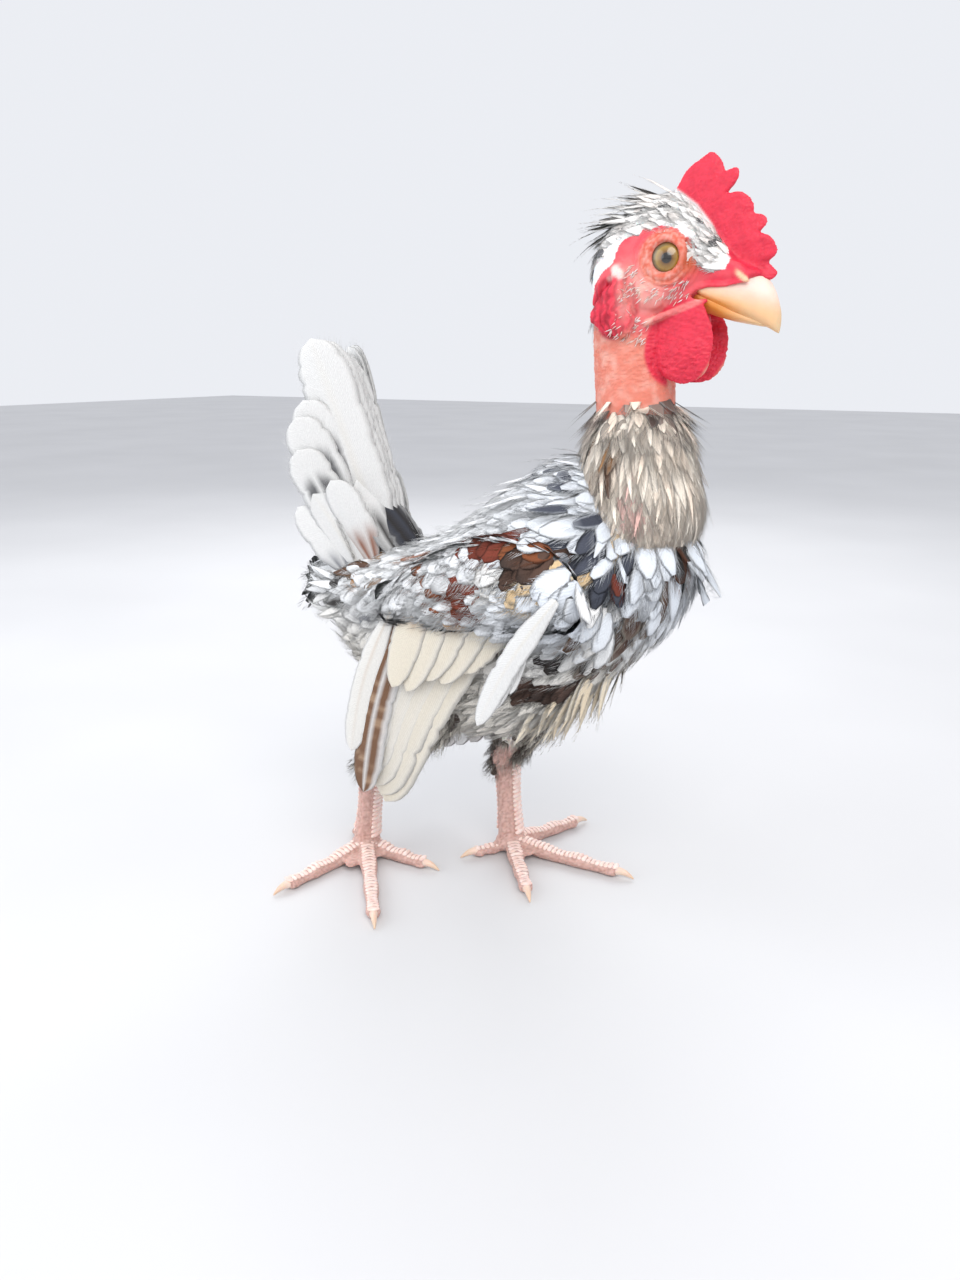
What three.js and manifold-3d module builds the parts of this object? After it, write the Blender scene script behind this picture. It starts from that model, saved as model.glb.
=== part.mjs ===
// A serama cockerel of the naked-neck type, life size, standing with hanging wings and upright tail.
// Millimetres. X points to the beak, Y to the bird's left, Z up; the soles rest on z = 0.
import * as THREE from 'three';
import { mergeVertices } from 'three/addons/utils/BufferGeometryUtils.js';
import Module from 'manifold-3d';

const wasm = await Module();
wasm.setup();

const RIGHT = -1;
const LEFT = 1;
const v = (x, y, z) => new THREE.Vector3(x, y, z);
const lerp = THREE.MathUtils.lerp;
const rad = THREE.MathUtils.degToRad;

// Driving dimensions
const GAP = 0.3;                     // clearance between neighbouring nodes
const HEAD_AT = v(68, 0, 180);       // centre of the skull
const HEAD_PITCH = rad(15);          // the beak points this far below level
const EYE_AT = v(4.3, 6.7, 2.1);     // eyeball centre in the head's frame, left side
const EYE_RADIUS = 4.7;
const LID_RADIUS = 4.3;
const LID_THICK = 0.9;
const THROAT_LEVEL = -9.5;           // height in the head's frame where the head meets the neck
const FACE_BACK = v(15.4, 0, -6);    // the bill's horn begins on the line from here
const FACE_TOP = v(25.6, 0, 4.4);    // up to here
const MOUTH_BACK = v(15.6, 0, -4.2);   // the mouth line runs from here
const MOUTH_FRONT = v(33.4, 0, -6.2);  // to the tip of the bill
const NAPE_BASE = v(46, 0, 134);     // the neck meets the torso on the slope from here
const BREAST_TOP = v(80, 0, 113.5);  // down to here
const RUMP_X = -6;                   // the rump begins behind this station
const WING_FACE = 28.3;              // the folded wing lies outside this distance from the middle
const VANE_THICK = 0.55;
const TIER = 0.86;                   // step from one overlapping vane to the next, face to face
const HOCK_HEIGHT = 33;
const FOOT_TOP = 8;
const CLAW_LENGTH = 6;

const finish = {
  comb: new THREE.MeshStandardMaterial({ color: 0xe8324e, roughness: 0.6, metalness: 0 }),
  face: new THREE.MeshStandardMaterial({ color: 0xe05a5c, roughness: 0.65, metalness: 0 }),
  horn: new THREE.MeshStandardMaterial({ color: 0xf0d2a8, roughness: 0.4, metalness: 0 }),
  eye: new THREE.MeshStandardMaterial({ color: 0x8a7a2c, roughness: 0.12, metalness: 0 }),
  skin: new THREE.MeshStandardMaterial({ color: 0xe9c3b8, roughness: 0.55, metalness: 0 }),
  cream: new THREE.MeshStandardMaterial({ color: 0xefe6d8, roughness: 0.8, metalness: 0 }),
  white: new THREE.MeshStandardMaterial({ color: 0xf3f2f2, roughness: 0.75, metalness: 0 }),
  dark: new THREE.MeshStandardMaterial({ color: 0x5c4a42, roughness: 0.85, metalness: 0 }),
};

// Solids: closing, joining, cutting

// A closed mesh, its faces turned outward, as a manifold solid.
function solidOf(geometry) {
  const bare = geometry.clone();
  bare.deleteAttribute('normal');
  bare.deleteAttribute('uv');
  const merged = mergeVertices(bare, 1e-4);
  const positions = merged.attributes.position.array;
  const faces = new Uint32Array(merged.index.array);
  if (signedVolume(positions, faces) < 0) {
    for (let i = 0; i < faces.length; i += 3) [faces[i + 1], faces[i + 2]] = [faces[i + 2], faces[i + 1]];
  }
  return new wasm.Manifold(new wasm.Mesh({ numProp: 3, vertProperties: positions, triVerts: faces }));
}

function signedVolume(positions, faces) {
  const corner = (k) => new THREE.Vector3().fromArray(positions, 3 * k);
  let sum = 0;
  for (let i = 0; i < faces.length; i += 3) {
    sum += corner(faces[i]).dot(corner(faces[i + 1]).cross(corner(faces[i + 2])));
  }
  return sum;
}

function joined(solids) {
  return solids.reduce((whole, solid) => whole.add(solid));
}

// The largest closed surface of a solid, without the scraps or sealed hollows that a cut leaves.
function largest(solid) {
  return solid.decompose().reduce((best, body) => (body.volume() > best.volume() ? body : best));
}

function geometryOf(solid) {
  const made = solid.getMesh();
  const geometry = new THREE.BufferGeometry();
  geometry.setAttribute('position', new THREE.BufferAttribute(made.vertProperties, 3));
  geometry.setIndex(new THREE.BufferAttribute(made.triVerts, 1));
  return geometry;
}

function meshOf(name, solid, material) {
  const geometry = geometryOf(largest(solid));
  geometry.computeVertexNormals();
  const mesh = new THREE.Mesh(geometry, material);
  mesh.name = name;
  return mesh;
}

// The half of space on the side of a plane that its normal points to.
function halfSpace(point, normal) {
  const size = 600;
  const turn = new THREE.Quaternion().setFromUnitVectors(v(0, 0, 1), normal.clone().normalize());
  const box = new THREE.BoxGeometry(size, size, size);
  box.translate(0, 0, size / 2);
  box.applyQuaternion(turn);
  box.translate(point.x, point.y, point.z);
  return solidOf(box);
}

// A closed skin over a list of rings that hold the same number of points. On a thin form whose rings
// run out along one face and back along the other, alike splits both faces along the same lines.
function loft(rings, alike = false) {
  const sides = rings[0].length;
  const points = rings.flat();
  const faces = [];
  for (let row = 0; row + 1 < rings.length; row += 1) {
    for (let k = 0; k < sides; k += 1) {
      const a = row * sides + k;
      const b = row * sides + ((k + 1) % sides);
      if (alike && k >= sides / 2) faces.push(a, b, a + sides, b, b + sides, a + sides);
      else faces.push(a, b, b + sides, a, b + sides, a + sides);
    }
  }
  for (const [row, flip] of [[0, true], [rings.length - 1, false]]) {
    const centre = rings[row].reduce((sum, p) => sum.add(p), v(0, 0, 0)).divideScalar(sides);
    points.push(centre);
    for (let k = 0; k < sides; k += 1) {
      const a = row * sides + k;
      const b = row * sides + ((k + 1) % sides);
      faces.push(...(flip ? [points.length - 1, b, a] : [points.length - 1, a, b]));
    }
  }
  const geometry = new THREE.BufferGeometry();
  geometry.setAttribute('position', new THREE.Float32BufferAttribute(points.flatMap((p) => p.toArray()), 3));
  geometry.setIndex(faces);
  return solidOf(geometry);
}

// A ring across X: its widest level lies between its bottom and its top.
function bodyRing(x, top, bottom, halfWidth, sides, waist = 0.5) {
  const middle = lerp(bottom, top, waist);
  return Array.from({ length: sides }, (_, k) => {
    const angle = (2 * Math.PI * k) / sides;
    const reach = Math.sin(angle) > 0 ? top - middle : middle - bottom;
    return v(x, halfWidth * Math.cos(angle), middle + reach * Math.sin(angle));
  });
}

// A tapered tube of oval section along stations [centre, radius across, radius deep, ridge on the front].
function tube(stations, sides, up = v(0, 1, 0)) {
  const rings = stations.map(([centre, across, deep, ridge = 0], i) => {
    const before = stations[Math.max(i - 1, 0)][0];
    const after = stations[Math.min(i + 1, stations.length - 1)][0];
    const along = after.clone().sub(before).normalize();
    const side = up.clone().sub(along.clone().multiplyScalar(up.dot(along))).normalize();
    const face = new THREE.Vector3().crossVectors(along, side);
    return Array.from({ length: sides }, (_, k) => {
      const angle = (2 * Math.PI * k) / sides;
      const raised = 1 + ridge * Math.max(0, Math.sin(angle));
      return centre.clone()
        .addScaledVector(side, across * raised * Math.cos(angle))
        .addScaledVector(face, deep * raised * Math.sin(angle));
    });
  });
  return loft(rings);
}

// Feathers

function ownSide(point, side) {
  return v(point.x, side * point.y, point.z);
}

// [place along the feather, share of its full width] from the root to a round tip.
const ROUND_TIP = [[0, 0.45], [0.3, 0.95], [0.7, 1], [0.92, 0.66], [1, 0.2]];
const POINTED_TIP = [[0, 0.45], [0.45, 1], [0.8, 0.55], [1, 0.08]];

// A flat vane. along runs from root to tip, face points to its outer side, and bend curves its tip inward.
function vane({ root, along, face, length, width, outline = ROUND_TIP, bend = 0 }) {
  const forward = along.clone().normalize();
  const out = face.clone().addScaledVector(forward, -face.dot(forward)).normalize();
  const across = new THREE.Vector3().crossVectors(forward, out);
  const rings = outline.map(([t, share]) => {
    const centre = root.clone().addScaledVector(forward, length * t).addScaledVector(out, -bend * t * t);
    const half = (width / 2) * share;
    const thick = lerp(VANE_THICK, 0.45, t) / 2;
    const at = (wide, high) => centre.clone().addScaledVector(across, wide).addScaledVector(out, high);
    return [at(-half, thick), at(half, thick), at(half, -thick), at(-half, -thick)];
  });
  return loft(rings, true);
}

// A soft lock of four faces that bends towards its under side and ends in a point.
function lock({ root, along, face, length, width, thick = 1.3, bend = 0 }) {
  const forward = along.clone().normalize();
  const out = face.clone().addScaledVector(forward, -face.dot(forward)).normalize();
  const across = new THREE.Vector3().crossVectors(forward, out);
  const rings = [[0, 0.75], [0.5, 1], [1, 0.1]].map(([t, share]) => {
    const centre = root.clone().addScaledVector(forward, length * t).addScaledVector(out, -bend * t * t);
    const at = (wide, high) => centre.clone().addScaledVector(across, wide).addScaledVector(out, high);
    const half = (width / 2) * share;
    const deep = (thick / 2) * share;
    return [at(-half, 0), at(0, deep), at(half, 0), at(0, -deep)];
  });
  return loft(rings);
}

// A seeded run of numbers from 0 to 1.
function draws(seed) {
  let state = seed;
  return () => {
    state = (state * 1664525 + 1013904223) % 4294967296;
    return state / 4294967296;
  };
}

// Torso and rump

// Stations from breast to rump: [x, top, bottom, half width, height share of the widest level].
const TORSO = [
  [82, 110.5, 101, 5, 0.5],
  [80, 114, 95, 11.5, 0.5],
  [75, 120, 87, 17.5, 0.5],
  [67, 126, 78, 22.5, 0.5],
  [57, 132, 67.5, 26, 0.52],
  [46, 133, 58, 27.4, 0.55],
  [34, 127, 51, 27.8, 0.58],
  [22, 118, 47.5, 27.5, 0.62],
  [10, 109.5, 48, 26.5, 0.64],
  [-2, 105, 52, 24.5, 0.64],
  [-14, 103.5, 59, 21, 0.62],
  [-25, 101, 67, 16.5, 0.6],
  [-34, 97, 76, 11, 0.55],
  [-39, 92, 83, 5, 0.5],
];

function torsoForm(grow) {
  const rings = TORSO.map(([x, top, bottom, half, waist], i) => {
    const ends = i === 0 ? grow : i === TORSO.length - 1 ? -grow : 0;
    return bodyRing(x + ends, top + grow, bottom - grow, half + grow, 24, waist);
  });
  return loft(rings);
}

const torsoGrown = torsoForm(GAP);
const neckSlope = BREAST_TOP.clone().sub(NAPE_BASE).cross(v(0, 1, 0)).normalize();

// The pale tuft of long down that hangs below the breast.
function breastTuft() {
  return [-7, -2.5, 2.5, 7].map((y, i) => lock({
    root: v(53 - i, y, 65), along: v(-0.42, 0.02 * y, -1), face: v(1, 0, -0.3),
    length: 20 - Math.abs(y) * 0.5, width: 7, thick: 2.2, bend: -1.5,
  }));
}

function torso() {
  return joined([torsoForm(0), ...breastTuft()])
    .subtract(halfSpace(NAPE_BASE, neckSlope))
    .subtract(halfSpace(v(RUMP_X, 0, 0), v(-1, 0, 0)));
}

// The loose down of the rump: tiers of locks that stand back and hang from the body's end.
const RUMP_TIERS = [
  { x: -23, count: 6, length: 17, width: 11.5, drop: 0.75 },
  { x: -30, count: 5, length: 15, width: 11, drop: 0.5 },
  { x: -36, count: 4, length: 12, width: 9.5, drop: 0.2 },
];

function rumpLocks() {
  const draw = draws(7);
  return RUMP_TIERS.flatMap(({ x, count, length, width, drop }) => {
    const before = TORSO.findLastIndex((station) => station[0] >= x);
    const [from, to] = [TORSO[before], TORSO[before + 1]];
    const t = (x - from[0]) / (to[0] - from[0]);
    const [top, bottom, half] = [1, 2, 3].map((k) => lerp(from[k], to[k], t));
    return Array.from({ length: count }, (_, i) => {
      const angle = lerp(rad(25), rad(-205), i / (count - 1));
      const out = v(0, Math.cos(angle), Math.sin(angle));
      const root = v(x + 3, 0.8 * half * out.y, lerp(bottom, top, 0.55) + 0.38 * (top - bottom) * out.z);
      return lock({
        root, along: v(-1, 0.35 * out.y, 0.35 * out.z - drop), face: out,
        length: length * lerp(0.85, 1.1, draw()), width, thick: 2, bend: 1.2,
      });
    });
  });
}

function rump() {
  return joined([torsoForm(0).intersect(halfSpace(v(RUMP_X - GAP, 0, 0), v(-1, 0, 0))), ...rumpLocks()])
    .intersect(halfSpace(v(RUMP_X - GAP, 0, 0), v(-1, 0, 0)));
}

// Neck

// Stations up the neck: [x, z, half depth, half width]; the bare tube of skin, and the ruff's core below.
const NECK = [
  [62.5, 106, 11.4, 13.8],
  [63.5, 117, 11.8, 13.8],
  [64, 126, 11.2, 12.4],
  [64, 134, 10.6, 11],
  [63.5, 142, 10.3, 10],
  [63, 149, 10.4, 9.7],
  [62.5, 156, 10.6, 9.5],
  [62.5, 164, 11, 9.4],
  [63.5, 172, 12, 9.4],
  [66, 180, 12, 9],
];
const RUFF_TOP = 151;

function neckForm(grow) {
  return tube(NECK.map(([x, z, deep, across]) => [v(x, 0, z), across + grow, deep + grow]), 16);
}

function neckStation(z) {
  const before = Math.min(NECK.findLastIndex((station) => station[1] <= z), NECK.length - 2);
  const t = (z - NECK[before][1]) / (NECK[before + 1][1] - NECK[before][1]);
  return [0, 2, 3].map((k) => lerp(NECK[before][k], NECK[before + 1][k], t));
}

// The feathered ruff: tiers of locks that hang round the lower neck, longest in front.
function ruffLocks() {
  const draw = draws(3);
  const tiers = [{ at: 1, count: 9 }, { at: 0.56, count: 10 }];
  return tiers.flatMap(({ at, count }, tier) => Array.from({ length: count }, (_, i) => {
    const angle = (2 * Math.PI * (i + 0.5 * tier)) / count;
    const heading = v(Math.cos(angle), Math.sin(angle), 0);
    const floor = lerp(NAPE_BASE.z, BREAST_TOP.z, (1 + heading.x) / 2);
    const z = lerp(floor, RUFF_TOP, at);
    const [x, deep, across] = neckStation(z);
    const root = v(x + (deep - 0.8) * heading.x, (across - 0.8) * heading.y, z);
    return lock({
      root, along: heading.clone().multiplyScalar(0.4).setZ(-1), face: heading,
      length: (RUFF_TOP - floor) * 0.64 * lerp(0.9, 1.12, draw()), width: 10.5 + tier, thick: 2.4, bend: 2.4,
    });
  }));
}

function headPoint(x, y, z) {
  return v(x, y, z).applyAxisAngle(v(0, 1, 0), HEAD_PITCH).add(HEAD_AT);
}

function throatHalf(offset) {
  const up = v(0, 0, 1).applyAxisAngle(v(0, 1, 0), HEAD_PITCH);
  return halfSpace(headPoint(0, 0, THROAT_LEVEL + offset), up);
}

function neck() {
  return joined([neckForm(0), ...ruffLocks()])
    .intersect(halfSpace(NAPE_BASE.clone().addScaledVector(neckSlope, GAP), neckSlope))
    .subtract(throatHalf(-GAP));
}

// The neck's upper tube as it lies in the head's own frame.
function neckInHeadFrame() {
  const geometry = geometryOf(neckForm(GAP));
  geometry.translate(-HEAD_AT.x, -HEAD_AT.y, -HEAD_AT.z);
  geometry.rotateY(-HEAD_PITCH);
  return solidOf(geometry);
}

// Head and bill, in the head's own frame

// Stations from nape to bill tip: [x, top, bottom, half width, height share of the widest level].
const HEAD = [
  [-16.5, 1, -9, 4.5, 0.45],
  [-14.5, 6.5, -14, 7.6, 0.45],
  [-10, 11.8, -15, 9.6, 0.5],
  [-5, 15.8, -15, 10.4, 0.5],
  [0, 18.2, -15, 10.6, 0.5],
  [5, 16.4, -14, 10.2, 0.48],
  [10, 13, -11, 8.6, 0.45],
  [14.5, 9.2, -8.8, 6.8, 0.42],
  [18, 6, -7.8, 5.6, 0.42],
  [22, 4.6, -7.6, 4.7, 0.4],
  [25.5, 4.2, -7.5, 3.9, 0.4],
  [28.5, 2.2, -7.4, 2.9, 0.42],
  [31.2, -0.9, -7.6, 1.9, 0.45],
  [33, -4, -7.9, 0.9, 0.5],
  [33.7, -6.3, -7.9, 0.35, 0.5],
];

function headForm(grow) {
  const rings = HEAD.map(([x, top, bottom, half, waist], i) => {
    const ends = i === 0 ? -grow : i === HEAD.length - 1 ? grow : 0;
    return bodyRing(x + ends, top + grow, bottom - grow, half + grow, 20, waist);
  });
  return loft(rings);
}

const headGrown = headForm(GAP);
const faceNormal = FACE_TOP.clone().sub(FACE_BACK).cross(v(0, 1, 0)).normalize().negate();
const mouthNormal = MOUTH_FRONT.clone().sub(MOUTH_BACK).cross(v(0, 1, 0)).normalize().negate();

function ball(centre, radius, sides, stretch = v(1, 1, 1)) {
  const sphere = new THREE.SphereGeometry(radius, sides, Math.round(0.7 * sides));
  sphere.scale(stretch.x, stretch.y, stretch.z);
  sphere.translate(centre.x, centre.y, centre.z);
  return solidOf(sphere);
}

function eyeball(side, grow) {
  return ball(ownSide(EYE_AT, side), EYE_RADIUS + grow, 14);
}

// The wrinkled rim of skin that closes over the eyeball.
function lids(side) {
  const ring = new THREE.TorusGeometry(LID_RADIUS, LID_THICK, 6, 18);
  ring.scale(1, 0.95, 1);
  ring.rotateX(Math.PI / 2);
  ring.rotateZ(side * rad(-8));
  ring.translate(EYE_AT.x + 0.1, side * (EYE_AT.y + 3.2), EYE_AT.z);
  return solidOf(ring);
}

// Loose white tufts that stand up at the back of the crown and lie down the nape.
function crest() {
  const draw = draws(11);
  const tufts = [];
  const tuft = (root, along, face, short, long) => {
    tufts.push(lock({ root, along, face, length: lerp(short, long, draw()), width: 4.8, thick: 1.3, bend: 0.9 }));
  };
  for (const y of [-5, 0, 5]) {
    tuft(v(-5.5 - 0.12 * y * y, y, 13 - 0.06 * y * y), v(-0.85, 0.12 * y, 1), v(0.6, 0.1 * y, 1), 6.5, 9);
    tuft(v(-10.5 - 0.05 * y * y, y, 7.5 - 0.05 * y * y), v(-1, 0.12 * y, 0.35), v(-0.3, 0.1 * y, 1), 5, 7);
    tuft(v(-13.5, 0.95 * y, 0), v(-1, 0.12 * y, -0.75), v(-1, 0.1 * y, 0.6), 5, 6.5);
  }
  return tufts;
}

function head() {
  const nostril = (side) => ball(v(21.6, side * 4.7, 0.9), 1, 8, v(1.5, 0.9, 0.6));
  const nostrilLid = (side) => ball(v(22, side * 3.9, 1.9), 1, 8, v(1.7, 0.9, 0.55));
  const mouth = new THREE.BoxGeometry(5, 20, 0.5);
  mouth.translate(MOUTH_BACK.x - 1, 0, MOUTH_BACK.z + 0.1);
  let form = joined([headForm(0), ...crest(), nostrilLid(RIGHT), nostrilLid(LEFT)])
    .subtract(nostril(RIGHT))
    .subtract(nostril(LEFT))
    .subtract(solidOf(mouth))
    .subtract(halfSpace(FACE_BACK, faceNormal))
    .subtract(halfSpace(v(0, 0, THROAT_LEVEL), v(0, 0, -1)));
  for (const side of [RIGHT, LEFT]) form = form.add(lids(side)).subtract(eyeball(side, GAP));
  return form;
}

function beakUpper() {
  return headForm(0)
    .intersect(halfSpace(FACE_BACK.clone().addScaledVector(faceNormal, GAP), faceNormal))
    .intersect(halfSpace(MOUTH_BACK, mouthNormal.clone().negate()));
}

// Stations of the lower bill: [x, top, bottom, half width].
const MANDIBLE = [
  [12, -2.6, -9, 4],
  [18, -3.4, -8.8, 3.9],
  [23, -4.2, -8, 3],
  [27, -4.8, -7, 1.9],
  [30.5, -5.4, -6.3, 0.7],
];

function mandibleForm(grow) {
  return loft(MANDIBLE.map(([x, top, bottom, half]) => {
    return bodyRing(x, top + grow, bottom - grow, half + grow, 12);
  }));
}

function beakLower() {
  return mandibleForm(0)
    .intersect(halfSpace(FACE_BACK.clone().addScaledVector(faceNormal, GAP), faceNormal))
    .intersect(halfSpace(MOUTH_BACK.clone().addScaledVector(mouthNormal, GAP), mouthNormal));
}

// Comb, wattles and ear lobes, in the head's own frame

const COMB_BASE = new THREE.CatmullRomCurve3([
  v(-0.8, 0, 17.6), v(5.5, 0, 15), v(10.5, 0, 11.6), v(14.4, 0, 7.8), v(18.6, 0, 4.6), v(24.4, 0, 2.6),
]);

// The comb's points: [place along the base, reach beyond the base, half width along the base].
const COMB_POINTS = [
  [0.1, 9.6, 0.13],
  [0.24, 11.4, 0.06],
  [0.41, 9.8, 0.1],
  [0.54, 11.8, 0.07],
  [0.69, 11.2, 0.1],
  [0.88, 8.2, 0.11],
];
const COMB_VALLEY = 6.4;

function combReach(s) {
  const swell = COMB_POINTS.map(([place, reach, half]) => {
    const away = Math.min(Math.abs(s - place) / half, 1);
    return (reach - COMB_VALLEY) * Math.sqrt(1 - away * away);
  });
  return (COMB_VALLEY + Math.max(...swell)) * Math.min(1, 0.25 + 9 * Math.min(s, 1 - s));
}

function comb() {
  const columns = 24;
  const rows = [-0.35, 0.25, 0.65, 1];
  const rings = Array.from({ length: columns + 1 }, (_, i) => {
    const s = i / columns;
    const base = COMB_BASE.getPoint(s);
    const lean = lerp(rad(80), rad(4), Math.pow(s, 0.8));
    const out = v(Math.cos(lean), 0, Math.sin(lean));
    const reach = combReach(s);
    const side = (sign) => rows.map((row) => {
      const thick = lerp(2.1, 0.7, Math.max(row, 0));
      const height = row < 0 ? row * 8 : row * reach;
      return base.clone().addScaledVector(out, height).setY(sign * thick);
    });
    return [...side(1), ...side(-1).reverse()];
  });
  return loft(rings).subtract(headGrown);
}

// A flat round lobe that hangs from the face: rings across its height, thin at the rim, with folds.
function lobe(centre, halfWidth, halfHeight, thick, side, tilt, foldDepth) {
  const rows = 6;
  const sides = 10;
  const rings = Array.from({ length: rows + 1 }, (_, i) => {
    const angle = lerp(rad(8), rad(172), i / rows);
    const height = Math.cos(angle) * halfHeight;
    const wide = Math.sin(angle) * halfWidth;
    return Array.from({ length: sides }, (_, k) => {
      const turn = (2 * Math.PI * k) / sides;
      const fold = foldDepth * Math.sin(3 * turn + 0.6 * i);
      const out = (thick * Math.sin(angle) ** 0.5 + fold) * Math.sin(turn);
      return v(centre.x + wide * Math.cos(turn), side * (centre.y + out - tilt * height), centre.z + height);
    });
  });
  return loft(rings);
}

function wattle(side) {
  return lobe(v(13.4, 6.2, -16), 8.2, 10.6, 1.5, side, 0.08, 0.35)
    .subtract(headGrown)
    .subtract(mandibleForm(GAP))
    .subtract(neckInHeadFrame());
}

function earLobe(side) {
  const lidReach = LID_RADIUS + LID_THICK + GAP;
  const eyeRoom = new THREE.CylinderGeometry(lidReach, lidReach, 12, 20);
  eyeRoom.translate(EYE_AT.x, side * 12, EYE_AT.z);
  const folds = [
    lobe(v(-5.4, 9.6, -7), 4.6, 6, 1.5, side, 0.06, 0.5),
    lobe(v(-5.8, 10.4, -13), 3.6, 5, 1.6, side, 0.06, 0.6),
    lobe(v(-1, 10.2, -14), 4.2, 5.2, 1.6, side, 0.06, 0.6),
  ];
  return joined(folds)
    .subtract(headGrown)
    .subtract(neckInHeadFrame())
    .subtract(solidOf(eyeRoom));
}

// Tail

const RECTRICES = 7;                    // main tail feathers on each side
const TAIL_ROOT = v(-13.5, 1, 103.5);
const TAIL_LENGTHS = [62, 61, 58, 55, 51, 46, 37];

function rectrix(side, i) {
  const lean = rad(12 + 0.5 * i);
  const spread = rad(3 + 2.1 * i);
  const facing = rad(76 - 2.5 * i);
  return vane({
    root: ownSide(TAIL_ROOT.clone().add(v(-1.45 * i, 1.4 * i, -0.5 * i)), side),
    along: v(-Math.sin(lean), side * Math.sin(spread), Math.cos(lean)),
    face: v(Math.cos(facing), side * Math.sin(facing), 0),
    length: TAIL_LENGTHS[i], width: i < 2 ? 15 : 17, bend: -1.5,
  });
}

// Shorter feathers that cover the tail's root, in front and at its side.
function tailCoverts(side) {
  const front = [0, 1].map((i) => vane({
    root: v(-4 - 5 * i, side * (2.6 + 3 * i), 102),
    along: v(-Math.sin(rad(36 - 10 * i)), side * 0.1, Math.cos(rad(36 - 10 * i))),
    face: v(0.55, side, 0.2), length: 24, width: 10, outline: POINTED_TIP, bend: 0.5,
  }));
  const outer = [0, 1].map((i) => vane({
    root: v(-20.5 - 5 * i, side * (11.5 + 1.2 * i), 97.5 - 2 * i),
    along: v(-0.36 - 0.12 * i, side * 0.3, 1),
    face: v(0.2, side, -0.1), length: 25 - 2 * i, width: 11, bend: -0.5,
  }));
  return [...front, ...outer];
}

function tail() {
  const core = tube([
    [v(-12, 0, 97), 9, 10], [v(-16, 0, 104), 8.6, 9], [v(-20, 0, 112), 6, 6], [v(-22, 0, 117), 3, 3],
  ], 14);
  const feathers = [RIGHT, LEFT].flatMap((side) => [
    ...Array.from({ length: RECTRICES }, (_, i) => rectrix(side, i)),
    ...tailCoverts(side),
  ]);
  return joined([core, ...feathers]).subtract(torsoGrown);
}

// Wings

// Flight feathers from the leading one back: [tip x, tip z, width]. The left wing hangs more open.
const REMIGES = {
  [RIGHT]: [
    [-2.5, 28, 13], [-3, 30.5, 13], [-4, 34, 12], [-5, 38.5, 12], [-5.5, 43, 12], [-7, 33, 10], [-9, 47, 9],
  ],
  [LEFT]: [
    [9, 34, 13], [3, 31, 13], [-3, 28.5, 12], [-9, 26, 12], [-14.5, 24, 12], [-19.5, 22, 11], [-23, 28, 9],
  ],
};
const REMEX_FIRST = v(38, 0, 95);       // roots of the flight feathers run from here
const REMEX_LAST = v(8, 0, 91);         // back to here
const FIRST_LEVEL = 1.1;                // the innermost vane lies this far out from the wing's inner face
const COVERTS = 6;
const ALULAE = 3;

// Sets a point of the wing at its side of the bird, bowed in towards the body below.
function wingPoint(point, side) {
  const below = Math.max(0, 88 - point.z) / 60;
  return v(point.x, side * (WING_FACE + point.y - 4 * below * below), point.z);
}

// A flat feather in the wing's own frame, where y is the distance out from the wing's inner face.
function wingVane(side, { from, to, width, level, outline = ROUND_TIP }) {
  const forward = to.clone().sub(from).normalize();
  const across = v(forward.z, 0, -forward.x);
  const length = from.distanceTo(to);
  const rings = outline.map(([t, share]) => {
    const half = (width / 2) * share;
    const thick = lerp(VANE_THICK, 0.45, t) / 2;
    const centre = from.clone().addScaledVector(forward, length * t);
    const at = (wide, high) => wingPoint(centre.clone().addScaledVector(across, wide).setY(level + high), side);
    return [at(-half, thick), at(half, thick), at(half, -thick), at(-half, -thick)];
  });
  return loft(rings, true);
}

function flightFeathers(side) {
  return REMIGES[side].map(([x, z, width], k, all) => wingVane(side, {
    from: REMEX_FIRST.clone().lerp(REMEX_LAST, k / (all.length - 1)), to: v(x, 0, z), width,
    level: FIRST_LEVEL + TIER * k,
  }));
}

function greaterCoverts(side) {
  const level = FIRST_LEVEL + TIER * REMIGES[side].length;
  return Array.from({ length: COVERTS }, (_, k) => {
    const from = v(lerp(46, 11, k / (COVERTS - 1)), 0, lerp(101, 97, k / (COVERTS - 1)));
    const heading = lerp(rad(236), rad(254), k / (COVERTS - 1));
    const to = from.clone().add(v(Math.cos(heading), 0, Math.sin(heading)).multiplyScalar(27));
    return wingVane(side, { from, to, width: 9.5, level: level + TIER * (k % 2) });
  });
}

function alula(side) {
  const level = FIRST_LEVEL + TIER * (REMIGES[side].length + 2);
  return Array.from({ length: ALULAE }, (_, k) => wingVane(side, {
    from: v(59 - 1.5 * k, 0, 101), to: v(37 + 4.5 * k, 0, 64.5 + 5 * k), width: 9 - k,
    level: level + TIER * k,
  }));
}

function wing(side) {
  const shoulder = [
    [v(64, 0, 101), 1.8, 4.5], [v(60, 0, 102), 3.6, 9], [v(50, 0, 103), 4.6, 11.5], [v(34, 0, 102), 4.8, 12],
    [v(20, 0, 98), 4.2, 10], [v(10, 0, 95), 3, 7], [v(5, 0, 93), 1.5, 4],
  ];
  const core = tube(shoulder.map(([centre, across, deep]) => {
    return [wingPoint(centre.clone().setY(4.4), side), across, deep];
  }), 16);
  return joined([core, ...flightFeathers(side), ...greaterCoverts(side), ...alula(side)])
    .subtract(torsoGrown);
}

// Legs

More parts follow.
